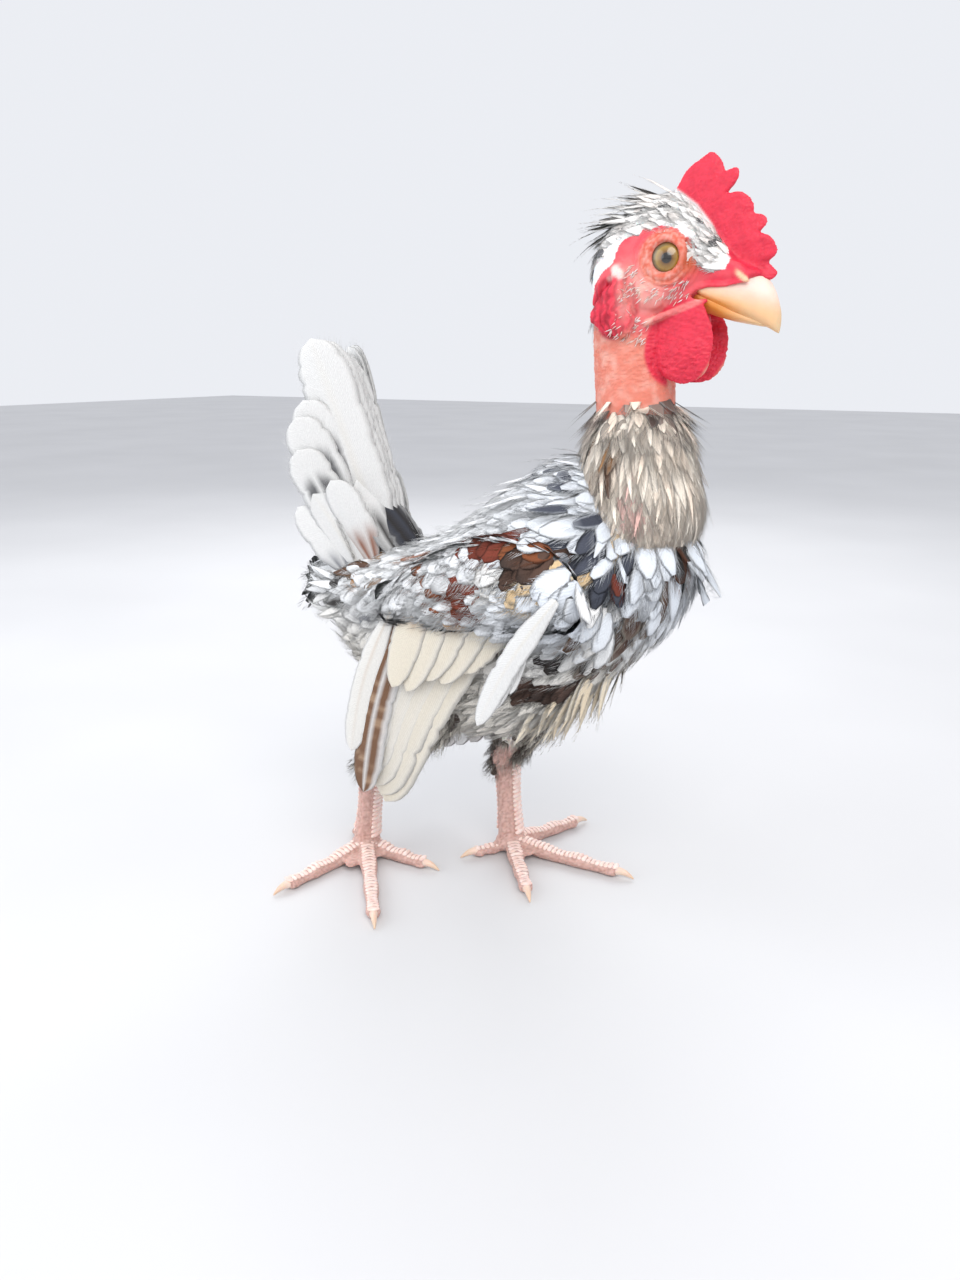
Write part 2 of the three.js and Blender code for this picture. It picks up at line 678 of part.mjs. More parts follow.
// Each toe: [name, heading in degrees from forward, length to the claw].
const LEGS = {
  [RIGHT]: {
    sole: v(-19.6, -12.8, 0), hock: v(-15.5, -13.5, HOCK_HEIGHT), knee: v(12, -15.5, 66),
    toes: [['outer', -102, 32], ['middle', -51, 41], ['inner', 1, 22], ['hind', 140, 13]],
  },
  [LEFT]: {
    sole: v(21.2, 12.4, 0), hock: v(18.6, 13.5, HOCK_HEIGHT), knee: v(30, 15.5, 66),
    toes: [['middle', 2, 37], ['inner', -52, 28], ['outer', 66, 28], ['hind', -128, 12]],
  },
};
const SHANK_SCUTES = 8;
const TOE_SCUTES = 4;
const SCUTE_RISE = 0.09;

function hockNormal(leg) {
  return leg.hock.clone().sub(leg.sole).normalize();
}

function thighFringe(leg) {
  const draw = draws(5);
  const count = 6;
  return Array.from({ length: count }, (_, i) => {
    const angle = (2 * Math.PI * i) / count;
    const out = v(Math.cos(angle), Math.sin(angle), 0);
    const root = leg.hock.clone().lerp(leg.knee, 0.3).add(v(5.5 * out.x, 4.5 * out.y, 0));
    const downward = leg.hock.clone().sub(leg.knee).normalize().addScaledVector(out, 0.1);
    return lock({
      root, along: downward, face: out, length: lerp(10, 13, draw()), width: 7, thick: 1.8, bend: 0.8,
    });
  });
}

function thigh(leg) {
  const { hock, knee } = leg;
  const at = (t) => hock.clone().lerp(knee, t);
  const core = tube([
    [at(-0.1), 4.2, 4.6], [at(0.12), 4.9, 5.8], [at(0.45), 8.2, 10.4],
    [at(0.75), 9.6, 12.6], [at(1), 8.6, 11.6],
  ], 14);
  return joined([core, ...thighFringe(leg)])
    .intersect(halfSpace(hock, hockNormal(leg)))
    .subtract(torsoGrown);
}

// Adds a low step to each overlapping scute along a list of plain stations.
function scuted(place, radii, count) {
  return Array.from({ length: 2 * count + 1 }, (_, i) => {
    const t = Math.min(1, (i % 2 ? i + 0.75 : i) / (2 * count));
    const [across, deep] = radii(t);
    return [place(t), across, deep, i % 2 ? SCUTE_RISE : 0];
  });
}

function shank(leg) {
  const place = (t) => leg.sole.clone().lerp(leg.hock, lerp(0.14, 1.05, t));
  const waist = (t) => Math.sin(Math.PI * t);
  const radii = (t) => [lerp(4, 4.5, t ** 3) - 0.4 * waist(t), lerp(5, 5.4, t) - 0.5 * waist(t)];
  return tube(scuted(place, radii, SHANK_SCUTES), 10, v(0, -1, 0))
    .intersect(halfSpace(leg.sole.clone().setZ(FOOT_TOP + GAP), v(0, 0, 1)))
    .subtract(halfSpace(leg.hock.clone().addScaledVector(hockNormal(leg), -GAP), hockNormal(leg)));
}

function headingOf(degrees) {
  return v(Math.cos(rad(degrees)), Math.sin(rad(degrees)), 0);
}

// A toe slopes down from the foot, then lies flat, with a pad under each joint.
function toe(leg, degrees, length) {
  const place = (t) => leg.sole.clone().addScaledVector(headingOf(degrees), length * t)
    .setZ(lerp(4.2, 1.85, Math.min(1, t * 2.2)));
  const radii = (t) => {
    const radius = lerp(3.3, 2, Math.sqrt(t)) + 0.14 * Math.cos(6 * Math.PI * t);
    return [radius, radius];
  };
  const sideways = v(0, 0, 1).cross(headingOf(degrees));
  return tube(scuted(place, radii, TOE_SCUTES), 8, sideways);
}

function foot(leg) {
  const ankle = tube([
    [leg.sole.clone().lerp(leg.hock, 0.32), 4, 5],
    [leg.sole.clone().setZ(4), 4.6, 5],
    [leg.sole.clone().setZ(-0.8), 3.2, 3.4],
  ], 12);
  return joined([ankle, ...leg.toes.map(([, degrees, length]) => toe(leg, degrees, length))])
    .intersect(halfSpace(v(0, 0, 0), v(0, 0, 1)))
    .subtract(halfSpace(v(0, 0, FOOT_TOP), v(0, 0, 1)));
}

// A claw: [place, height, radius] from the toe's end to its tip on the floor.
const CLAW = [[0, 2.1, 1.45], [0.35, 2.2, 1.15], [0.7, 1.6, 0.75], [1, 0.7, 0.3]];

function claw(leg, degrees, length) {
  const heading = headingOf(degrees);
  const root = leg.sole.clone().addScaledVector(heading, length + GAP);
  return tube(CLAW.map(([t, height, radius]) => {
    return [root.clone().addScaledVector(heading, CLAW_LENGTH * t).setZ(height), radius, radius];
}), 6, v(0, 0, 1).cross(heading));
}

// Assembly

const bird = new THREE.Group();
bird.add(meshOf('torso', torso(), finish.cream));
bird.add(meshOf('rump', rump(), finish.cream));
bird.add(meshOf('neck', neck(), finish.skin));
bird.add(meshOf('tail', tail(), finish.white));

const headGroup = new THREE.Group();
headGroup.position.copy(HEAD_AT);
headGroup.rotation.y = HEAD_PITCH;
headGroup.add(meshOf('head', head(), finish.face));
headGroup.add(meshOf('beak_upper', beakUpper(), finish.horn));
headGroup.add(meshOf('beak_lower', beakLower(), finish.horn));
headGroup.add(meshOf('comb', comb(), finish.comb));
bird.add(headGroup);

for (const [side, name] of [[RIGHT, 'right'], [LEFT, 'left']]) {
  const leg = LEGS[side];
  headGroup.add(meshOf(`eye_${name}`, eyeball(side, 0), finish.eye));
  headGroup.add(meshOf(`wattle_${name}`, wattle(side), finish.comb));
  headGroup.add(meshOf(`earlobe_${name}`, earLobe(side), finish.comb));
  bird.add(meshOf(`wing_${name}`, wing(side), finish.white));
  bird.add(meshOf(`thigh_${name}`, thigh(leg), finish.dark));
  bird.add(meshOf(`shank_${name}`, shank(leg), finish.skin));
  bird.add(meshOf(`foot_${name}`, foot(leg), finish.skin));
  for (const [toeName, degrees, length] of leg.toes) {
    bird.add(meshOf(`claw_${name}_${toeName}`, claw(leg, degrees, length), finish.horn));
  }
}

// The group is set so that the middle of its footprint, on the floor, is the origin.
const bounds = new THREE.Box3().setFromObject(bird, true);
const centre = bounds.getCenter(v(0, 0, 0));
const part = new THREE.Group();
bird.position.set(-centre.x, -centre.y, -bounds.min.z);
part.add(bird);

export default part;
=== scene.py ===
# The looks of a naked-neck serama cockerel, life size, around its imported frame.
# Shapes are worked out in millimetres in the bird's own frame (X to the beak, Y to its left, Z up,
# soles at 0) and set into the frame in metres by placed().
import math

import bpy
import numpy as np
from mathutils import Matrix, Vector, noise


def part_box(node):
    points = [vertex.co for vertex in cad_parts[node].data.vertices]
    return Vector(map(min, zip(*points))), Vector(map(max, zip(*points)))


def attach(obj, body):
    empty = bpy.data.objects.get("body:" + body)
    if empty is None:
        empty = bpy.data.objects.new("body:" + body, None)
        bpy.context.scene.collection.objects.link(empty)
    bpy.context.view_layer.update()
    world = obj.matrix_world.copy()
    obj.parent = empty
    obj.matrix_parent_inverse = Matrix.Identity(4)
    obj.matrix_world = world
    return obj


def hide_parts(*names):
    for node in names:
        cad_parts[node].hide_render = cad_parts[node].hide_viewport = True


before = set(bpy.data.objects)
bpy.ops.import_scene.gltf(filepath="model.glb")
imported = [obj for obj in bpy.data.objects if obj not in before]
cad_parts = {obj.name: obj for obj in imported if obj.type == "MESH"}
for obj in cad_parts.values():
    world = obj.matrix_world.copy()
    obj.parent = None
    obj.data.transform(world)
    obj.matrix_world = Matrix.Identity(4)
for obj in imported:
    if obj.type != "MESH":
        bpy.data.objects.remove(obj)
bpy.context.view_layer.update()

MM = 0.001
RIGHT = -1
LEFT = 1

# Driving dimensions, as in the solids
HEAD_AT = np.array([68.0, 0.0, 180.0])
HEAD_PITCH = 15           # degrees, beak down
EYE_AT = np.array([4.3, 6.7, 2.1])
EYE_RADIUS = 4.7
WING_FACE = 28.3
CLAW_LENGTH = 6.0
COAT_DEPTH = 3.2          # the skin of the body lies this far under the tips of the coat

LEGS = {
    "right": {
        "sole": (-19.6, -12.8, 0), "hock": (-15.5, -13.5, 33), "knee": (12, -15.5, 66),
        "toes": {"outer": (-102, 32), "middle": (-51, 41), "inner": (1, 22), "hind": (140, 13)},
    },
    "left": {
        "sole": (21.2, 12.4, 0), "hock": (18.6, 13.5, 33), "knee": (30, 15.5, 66),
        "toes": {"middle": (2, 37), "inner": (-52, 28), "outer": (66, 28), "hind": (-128, 12)},
    },
}


def turned(points, i, j, degrees):
    """Points turned in the plane of their columns i and j."""
    points = np.array(points, float)
    c, s = math.cos(math.radians(degrees)), math.sin(math.radians(degrees))
    a, b = points[..., i].copy(), points[..., j].copy()
    points[..., i], points[..., j] = a * c - b * s, a * s + b * c
    return points


def from_head(points):
    """Points of the head's own frame in the bird's frame."""
    return turned(points, 0, 2, -HEAD_PITCH) + HEAD_AT


def to_head(points):
    """Points of the bird's frame in the head's own frame."""
    return turned(np.asarray(points, float) - HEAD_AT, 0, 2, HEAD_PITCH)


def head_sides(points):
    """x, z and the distance from the middle plane, in the head's own frame."""
    local = to_head(points)
    return local, local[:, 0], local[:, 2], np.abs(local[:, 1])


eye_low, eye_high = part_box("eye_right")
SHIFT = np.array((eye_low + eye_high) / 2) - from_head(EYE_AT * [1, RIGHT, 1]) * MM


def placed(points):
    """Millimetres in the bird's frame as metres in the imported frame."""
    return np.asarray(points, float) * MM + SHIFT


# Small maths on arrays of points


def unit(v):
    return v / np.maximum(np.linalg.norm(v, axis=-1, keepdims=True), 1e-9)


def dot(a, b):
    return (a * b).sum(-1, keepdims=True)


def step(low, high, value):
    """0 below low, 1 above high, smooth between."""
    t = np.clip((value - low) / (high - low), 0, 1)
    return t * t * (3 - 2 * t)


def mix(a, b, share):
    share = np.asarray(share)
    if share.ndim and share.shape[-1] != 1:
        share = share[..., None]
    return a + (np.asarray(b) - a) * share


def colour(code):
    """A colour written as rrggbb, as the linear values that the shaders use."""
    s = np.array([int(code[i:i + 2], 16) / 255 for i in (0, 2, 4)])
    return np.where(s <= 0.04045, s / 12.92, ((s + 0.055) / 1.055) ** 2.4)


def bumpy(points, size, seed=0.0):
    """Smooth noise about 0, its lumps about so many millimetres across."""
    shift = Vector((seed, 2.3 * seed, 4.7 * seed))
    return np.array([noise.noise(Vector(p) / size + shift) for p in points])


def mound(x, z, middle, reach, power=2):
    """1 at a point of the side view, falling off to 0 all round it."""
    return np.exp(-(((x - middle[0]) / reach[0]) ** power + ((z - middle[1]) / reach[1]) ** power))


def round_steps(count):
    """Even angles round a full turn."""
    return np.arange(count) * 2 * np.pi / count


def smooth_between(rows, run, slopes, t):
    """Rows of values at places t of a run, on a smooth curve through all of them."""
    i = np.clip(np.searchsorted(run, t, side="right") - 1, 0, len(run) - 2)
    h = (run[i + 1] - run[i])[..., None]
    s = (t - run[i])[..., None] / h
    return ((2 * s**3 - 3 * s**2 + 1) * rows[i] + (s**3 - 2 * s**2 + s) * (slopes[i] * h)
            + (3 * s**2 - 2 * s**3) * rows[i + 1] + (s**3 - s**2) * (slopes[i + 1] * h))


# Colours of the bird
ICE = colour("eaf0f8")
SNOW = colour("fbfbfa")
CREAM = colour("f9f2e4")
BUFF = colour("e0c49a")
TAN = colour("b98a5a")
RUST = colour("9a5a38")
MAHOGANY = colour("7c3a2c")
UMBER = colour("5a443a")
SOOT = colour("33302f")
SLATE = colour("4a4e5a")
ASH = colour("8f9198")
COMB_RED = colour("e62a48")
COMB_DEEP = colour("c81637")
FACE_PINK = colour("ec6a70")
FACE_PALE = colour("f5c3b4")
FACE_ORANGE = colour("d9663f")
NECK_SALMON = colour("e2826d")
LEG_PALE = colour("f3dcd4")
LEG_PINK = colour("e6bfb4")
LEG_DARK = colour("b98f84")


# Counting in steps of these ratios fills a square evenly, without rows
EVEN_RATIOS = (1.3247179572, 1.7548776662)


class Form:
    """Rounded sections along a run of stations, smooth between them. A station is (centre,
    half width, reach above, reach below); power 2 gives ovals, less a roof."""

    def __init__(self, stations, side=(0, 1, 0), up=(0, 0, 1), power=2.0):
        self.rows = np.array([[*c, a, b, d] for c, a, b, d in stations], float)
        self.side, self.up, self.power = np.array(side, float), np.array(up, float), power
        gaps = np.linalg.norm(np.diff(self.rows, axis=0), axis=1)
        self.run = np.concatenate([[0], np.cumsum(gaps)]) / gaps.sum()
        self.slopes = np.gradient(self.rows, self.run, axis=0)

    def columns(self, t):
        return smooth_between(self.rows, self.run, self.slopes, np.clip(t, 0, 1))

    def at(self, t, angle):
        made = self.columns(np.asarray(t, float))
        c, s = np.cos(angle), np.sin(angle)
        c = np.sign(c) * np.abs(c) ** (2 / self.power)
        reach = np.where(s > 0, made[..., 4], made[..., 5])
        s = np.sign(s) * np.abs(s) ** (2 / self.power)
        across = np.maximum(made[..., 3], 0.05)
        out = (across * c)[..., None] * self.side
        return made[..., :3] + out + (np.maximum(reach, 0.05) * s)[..., None] * self.up

    def frame(self, t, angle):
        """The point, its outward normal, and how it moves with t and with the angle."""
        e = 1e-3
        t = np.clip(t, 2 * e, 1 - 2 * e)
        point = self.at(t, angle)
        with_t = (self.at(t + e, angle) - self.at(t - e, angle)) / (2 * e)
        with_angle = (self.at(t, angle + e) - self.at(t, angle - e)) / (2 * e)
        normal = unit(np.cross(with_angle, with_t))
        outward = np.sign(dot(normal, point - self.columns(t)[..., :3]))
        return point, normal * np.where(outward == 0, 1, outward), with_t, with_angle

    def closed(self, rows, sides, grow=0.0, first=0.0, last=1.0):
        """Vertices and faces of the closed form, grown outward by so much."""
        t, angle = np.meshgrid(np.linspace(first, last, rows), round_steps(sides), indexing="ij")
        point, normal, _, _ = self.frame(t, angle)
        rings = point + grow * normal
        return tube_mesh(rings, rings[[0, -1]].mean(1))

    def spread(self, count, seed):
        """Even random places over the form, as t and angle."""
        cells = 160
        middles = (np.arange(cells) + 0.5) / cells
        t, angle = np.meshgrid(middles, round_steps(24), indexing="ij")
        _, _, with_t, with_angle = self.frame(t, angle)
        area = np.linalg.norm(np.cross(with_t, with_angle), axis=-1)
        by_t = np.concatenate([[0], np.cumsum(area.sum(1))])
        draw = np.random.default_rng(seed)
        first, second = (
            (0.5 + np.arange(count) / ratio) % 1 + draw.normal(0, 0.25 / math.sqrt(count), count)
            for ratio in EVEN_RATIOS)
        edges = np.concatenate([[0], middles + 0.5 / cells])
        return np.interp(np.clip(first, 0, 1) * by_t[-1], by_t, edges), second * 2 * np.pi


def ring_quads(rows, sides):
    """Faces between rings of points that follow one another."""
    row, k = np.meshgrid(np.arange(rows - 1) * sides, np.arange(sides), indexing="ij")
    a, b = (row + k).ravel(), (row + (k + 1) % sides).ravel()
    return np.stack([a, b, b + sides, a + sides], 1)


def tube_mesh(rings, ends):
    """Vertices and faces of rings closed by a point at each end."""
    rows, sides = rings.shape[:2]
    k, last = np.arange(sides), (rows - 1) * sides
    after = (k + 1) % sides
    caps = np.concatenate([
        np.stack([np.full(sides, rows * sides), after, k], 1),
        np.stack([np.full(sides, rows * sides + 1), last + k, last + after], 1)])
    return np.concatenate([rings.reshape(-1, 3), ends]), [ring_quads(rows, sides), caps]


def linked(name, data):
    """A new object of the scene that holds the data."""
    obj = bpy.data.objects.new(name, data)
    bpy.context.scene.collection.objects.link(obj)
    return obj


def hold(mesh, name, kind, field, values):
    """Keeps a value for each vertex in a mesh."""
    attribute = mesh.attributes.new(name, kind, "POINT")
    attribute.data.foreach_set(field, np.asarray(values, np.float32).ravel())


def mesh_object(name, verts, faces):
    """A mesh object. faces is a list of index arrays, each of faces with as many corners."""
    mesh = bpy.data.meshes.new(name)
    loops = np.concatenate([f.ravel() for f in faces]).astype(np.int32)
    sizes = np.concatenate([np.full(len(f), f.shape[1]) for f in faces])
    starts = np.concatenate([[0], np.cumsum(sizes)[:-1]]).astype(np.int32)
    mesh.vertices.add(len(verts))
    mesh.vertices.foreach_set("co", placed(verts).ravel())
    mesh.loops.add(len(loops))
    mesh.loops.foreach_set("vertex_index", loops)
    mesh.polygons.add(len(sizes))
    mesh.polygons.foreach_set("loop_start", starts)
    mesh.polygons.foreach_set("use_smooth", np.full(len(sizes), True))
    mesh.update(calc_edges=True)
    mesh.validate()
    return linked(name, mesh)


def paint(obj, values):
    """The colour at each vertex, which the shaders read."""
    hold(obj.data, "tint", "FLOAT_COLOR", "color",
         np.concatenate([values, np.ones((len(values), 1))], 1))


def lay_out(obj, name, uv):
    """A UV map from a pair of values at each vertex."""
    corners = np.empty(len(obj.data.loops), np.int32)
    obj.data.loops.foreach_get("vertex_index", corners)
    layer = obj.data.uv_layers.new(name=name)
    layer.data.foreach_set("uv", uv[corners].astype(np.float32).ravel())


def joined_arrays(parts):
    """Several (verts, faces) as one."""
    verts, faces, start = [], {}, 0
    for part_verts, part_faces in parts:
        for f in part_faces:
            faces.setdefault(f.shape[1], []).append(f + start)
        verts.append(part_verts)
        start += len(part_verts)
    return np.concatenate(verts), [np.concatenate(f) for f in faces.values()]


# Body forms: the outer surface of the coat, as in the solids

# x, top, bottom, half width, height share of the widest level
TORSO = [
    (83.6, 106.5, 105, 0.6, 0.5), (82.3, 110.5, 101, 5.5, 0.5), (80, 114.5, 95, 11.5, 0.5),
    (75, 120.5, 86.5, 17.5, 0.5),
    (67, 126.5, 78, 22.5, 0.5), (57, 132, 67.5, 26, 0.52), (46, 133, 58, 27.4, 0.55),
    (34, 127, 51, 27.8, 0.58),
    (22, 118, 47.5, 27.5, 0.62), (10, 109.5, 48, 26.5, 0.64), (-2, 105, 52, 24.5, 0.64),
    (-14, 103.5, 59, 21, 0.62),
    (-25, 101, 67, 16.5, 0.6), (-34, 97, 76, 11, 0.55), (-39, 92, 83, 5, 0.5),
    (-40.5, 89, 87, 0.6, 0.5),
]
torso = Form([
    ((x, 0, bottom + (top - bottom) * waist), half, (top - bottom) * (1 - waist),
     (top - bottom) * waist)
    for x, top, bottom, half, waist in TORSO
])

# The mantle runs over the back and the shoulders of both wings: x, ridge, eaves, half width
MANTLE = [
    (72, 121, 98, 20), (66, 126.5, 97, 30), (58, 132, 97, 34.5), (46, 133, 97, 37.2),
    (34, 127.5, 96, 38),
    (22, 119, 94, 37), (10, 110.5, 91, 34), (0, 106, 89, 29.5), (-10, 104.5, 87, 24),
    (-20, 102.5, 85, 18.5),
]
mantle = Form([((x, 0, eaves), half, top - eaves, 30) for x, top, eaves, half in MANTLE],
              power=1.55)

# x, z, half depth, half width of the bare neck and of the ruff's outer surface
NECK = [
    (62.5, 100, 11.5, 14), (62.5, 108, 11.5, 14), (63.5, 117, 11.8, 13.8), (64, 126, 11.2, 12.4),
    (64, 134, 10.6, 11),
    (63.5, 142, 10.3, 10), (63, 149, 10.4, 9.7), (62.5, 156, 10.5, 9.5), (62.5, 164, 11, 9.4),
    (63.5, 172, 11.6, 9.2),
    (65, 178, 11, 8),
]
RUFF = [
    (63, 104, 12, 15), (64, 110, 15.5, 18), (65, 116, 17.2, 18.5), (65.4, 122, 17, 17.5),
    (65, 130, 15.5, 15.8),
    (64.5, 138, 14, 14), (64, 145, 12.8, 12.4), (63.2, 151, 11.4, 10.8), (62.8, 156, 10.6, 9.8),
]
neck = Form([((x, 0, z), across, deep, deep) for x, z, deep, across in NECK], up=(1, 0, 0))
ruff = Form([((x, 0, z), across, deep, deep) for x, z, deep, across in RUFF], up=(1, 0, 0))

# The skull and face in the head's own frame: x, top, bottom, half width, share of the height
# at the widest level
SKULL = [
    (-15.6, -2, -5, 1.5, 0.5), (-14.8, 2.5, -9.5, 5.2, 0.45), (-13, 6.6, -12.5, 7.6, 0.45),
    (-9.5, 10.6, -15, 9.2, 0.5),
    (-5, 14.4, -15.5, 10, 0.5), (0, 16.6, -15.5, 10.3, 0.5), (5, 15.2, -14.5, 10, 0.48),
    (10, 12, -9.5, 8.5, 0.45),
    (14.5, 8.8, -3.8, 6.7, 0.45), (18, 6.6, -2.2, 5.7, 0.45), (21, 5.4, 0.0, 4.9, 0.45),
    (24, 4.8, 2.0, 3.9, 0.5),
    (25.8, 4.4, 3.4, 1.2, 0.5),
]


def head_form(rows):
    """A form laid along the head's own X, in the bird's frame."""
    side, up = np.array([0, 1, 0]), from_head([0, 0, 1]) - HEAD_AT
    stations = []
    for x, top, bottom, half, waist in rows:
        middle = bottom + (top - bottom) * waist
        stations.append((from_head([x, 0, middle]), half, top - middle, middle - bottom))
    return Form(stations, side, up)


skull = head_form(SKULL)


def thigh_form(leg):
    hock, knee = np.array(leg["hock"], float), np.array(leg["knee"], float)
    up = unit(np.cross(unit(knee - hock), [0, 1, 0]))
    shape = [(-0.05, 4, 4.4), (0.12, 4.8, 5.7), (0.45, 8.2, 10.4), (0.75, 9.6, 12.6),
             (1, 8.6, 11.6), (1.1, 5, 7)]
    return Form([(hock + (knee - hock) * t, across, deep, deep) for t, across, deep in shape],
                up=up)


# Wing arm: x, z, half thickness, half height, on the wing's middle plane
WING_ARM = [
    (65, 100, 0.8, 1.5), (63.5, 101, 2, 5), (60, 102, 3.4, 9), (50, 103, 4.2, 11.2),
    (34, 102, 4.4, 11.7),
    (20, 98, 3.9, 9.7), (10, 95, 2.8, 6.8), (4.5, 93, 1.4, 3.5), (3, 92.5, 0.4, 0.8),
]
WING_MIDDLE = 4.4        # the arm's middle plane lies this far out from the wing's inner face


def wing_arm(side):
    return Form([((x, side * (WING_FACE + WING_MIDDLE), z), thick, high, high) for x, z, thick,
                 high in WING_ARM])


# Feathers


def over(form, t, angle, flow, length, rows):
    """Walks from each root over a form, along the flow, for the feather's length.
    Gives the points passed and the normals there; past the form's end the walk goes straight on."""
    points, normals = [], []
    stride = (length / (rows - 1))[:, None]
    point, normal, with_t, with_angle = form.frame(t, angle)
    heading = None
    for _ in range(rows):
        points.append(point)
        normals.append(normal)
        wish = flow(point)
        wish = unit(wish - dot(wish, normal) * normal)
        heading = wish if heading is None else unit(wish + heading)
        tt, ta, aa = dot(with_t, with_t), dot(with_t, with_angle), dot(with_angle, with_angle)
        bt, ba = dot(heading, with_t), dot(heading, with_angle)
        det = np.maximum(tt * aa - ta * ta, 1e-6)
        new_t = t + ((bt * aa - ba * ta) / det * stride)[:, 0]
        angle = angle + np.clip((ba * tt - bt * ta) / det * stride, -0.6, 0.6)[:, 0]
        off = ((new_t > 0.985) | (new_t < 0.015))[:, None]
        t = np.clip(new_t, 0.01, 0.99)
        there, there_normal, with_t, with_angle = form.frame(t, angle)
        point = np.where(off, point + heading * stride, there)
        normal = np.where(off, normal, there_normal)
    return np.stack(points, 1), np.stack(normals, 1)


def raised(points, normals, depth, lift, hook=1.0):
    """Spines that start under a surface by depth and end above it by lift."""
    s = np.linspace(0, 1, points.shape[1])[None, :, None]
    depth, lift = np.asarray(depth).reshape(-1, 1, 1), np.asarray(lift).reshape(-1, 1, 1)
    return points + normals * (-depth + (depth + lift) * s**hook)


# Share of the full width from root to tip
CONTOUR = np.array([0.3, 0.75, 1.0, 1.0, 0.8, 0.3])
LANCE = np.array([0.3, 0.8, 1.0, 0.85, 0.5, 0.12])


def ribs(spines, normals):
    """Directions along each spine, square to it and to the surface, and across it."""
    along = unit(np.gradient(spines, axis=1))
    normals = unit(normals - dot(normals, along) * along)
    return along, normals, np.cross(along, normals)


# Corners round a vane: place across, drop with the vane's camber, and share of its thickness
VANE_RING = [(-1, -1, 0), (-0.5, -0.25, 0.8), (0, 0, 1), (0.5, -0.25, 0.8), (1, -1, 0), (0, 0, -1)]
VANE_CAP = np.array([[0, 1, 2, 5], [2, 3, 4, 5]])


def vanes(spines, normals, width, outline=CONTOUR, camber=0.3, thick=0.2):
    """Thin closed vanes on spines: each row runs over the top and back under the shaft."""
    n, rows = spines.shape[:2]
    _, normals, across = ribs(spines, normals)
    s = np.linspace(0, 1, rows)
    half = (width[:, None] * np.interp(s, np.linspace(0, 1, len(outline)), outline) / 2)[..., None]
    s = s[None, :, None]
    deep = thick * (1 - 0.6 * s) / 2 * np.ones((n, 1, 1))
    ring = np.stack([
        spines + across * half * u + normals * (camber * half * drop + deep * lift)
        for u, drop, lift in VANE_RING
    ], 2)
    sides = len(VANE_RING)
    start = np.arange(n)[:, None] * rows * sides
    last = start + (rows - 1) * sides
    quads = (ring_quads(rows, sides) + start[..., None]).reshape(-1, 4)
    caps = [end + half_cap for end, turn in ((start, -1), (last, 1))
            for half_cap in VANE_CAP[:, ::turn]]
    u = np.array([corner[0] for corner in VANE_RING], float)
    flat = {key: np.broadcast_to(value, (n, rows, sides)).ravel() for key, value in (
        ("s", s), ("u", u), ("id", np.arange(n)[:, None, None]), ("mm", u * half))}
    flat["lie"] = np.repeat(normals.reshape(-1, 3), sides, axis=0)
    return ring.reshape(-1, 3), [np.concatenate([quads, *caps])], flat


def barbs(spines, normals, width, count, outline=CONTOUR, inner=0.0, slope=1.3, thick=0.11,
          stray=0.25, seed=1, camber=0.3, first=0.1):
    """Slivers that leave both sides of a spine and end in points. inner is the share of the
    vane's width where they start, first the share of its length."""
    draw = np.random.default_rng(seed)
    n, rows = spines.shape[:2]
    along, normals, across = ribs(spines, normals)
    s = first + (np.arange(count) + 0.5) / count * (1 - first)
    s = np.clip(s[None, :] + draw.normal(0, 0.3 * (1 - first) / count, (n, count)), 0.05, 0.99)
    place = s * (rows - 1)
    i = np.clip(place.astype(int), 0, rows - 2)
    f = (place - i)[..., None]
    row = np.arange(n)[:, None]
    centre, tangent, out, up = (
        values[row, i] * (1 - f) + values[row, i + 1] * f
        for values in (spines, along, across, normals))
    wide = width[:, None, None]
    half = wide * np.interp(s, np.linspace(0, 1, len(outline)), outline)[..., None] / 2

    def drawn(low, high):
        return draw.uniform(low, high, (n, count, 1))

    parts = []
    for side in (-1, 1):
        reach = half * drawn(0.85, 1.25)
        root = centre + out * side * half * inner - up * camber * half * inner**2
        lean = slope * drawn(0.75, 1.3)
        past = reach * (1 - inner) * lean + 0.22 * wide * inner
        tip = centre + out * side * reach + tangent * past
        tip = tip + up * draw.normal(0, stray, (n, count, 1)) * reach - up * camber * reach
        deep = thick * drawn(0.8, 1.3)
        foot = [root - tangent * deep, root + tangent * deep, root + up * deep * 0.4]
        parts.append(np.stack([*foot, tip], 2).reshape(-1, 3))
    base = np.arange(2 * n * count)[:, None] * 4
    corners = np.array([[0, 1, 3], [1, 2, 3], [2, 0, 3], [0, 2, 1]])
    tris = (base[:, :, None] + corners).reshape(-1, 3)
    tris[: len(tris) // 2] = tris[: len(tris) // 2, ::-1]
    shares = np.array([inner, inner, inner, 1.0])
    flat = {
        "s": np.tile(np.repeat(s.ravel(), 4), 2),
        "id": np.tile(np.repeat(np.arange(n), 4 * count), 2),
        "u": np.concatenate([np.tile(side * shares, n * count) for side in (-1, 1)]),
        "lie": np.tile(np.repeat(up.reshape(-1, 3), 4, axis=0), (2, 1)),
    }
    flat["mm"] = flat["u"] * width[flat["id"]] / 2
    return np.concatenate(parts), [tris], flat


QUILL_TONE = 0.86         # broad feathers lie open to the light and need a deeper tone


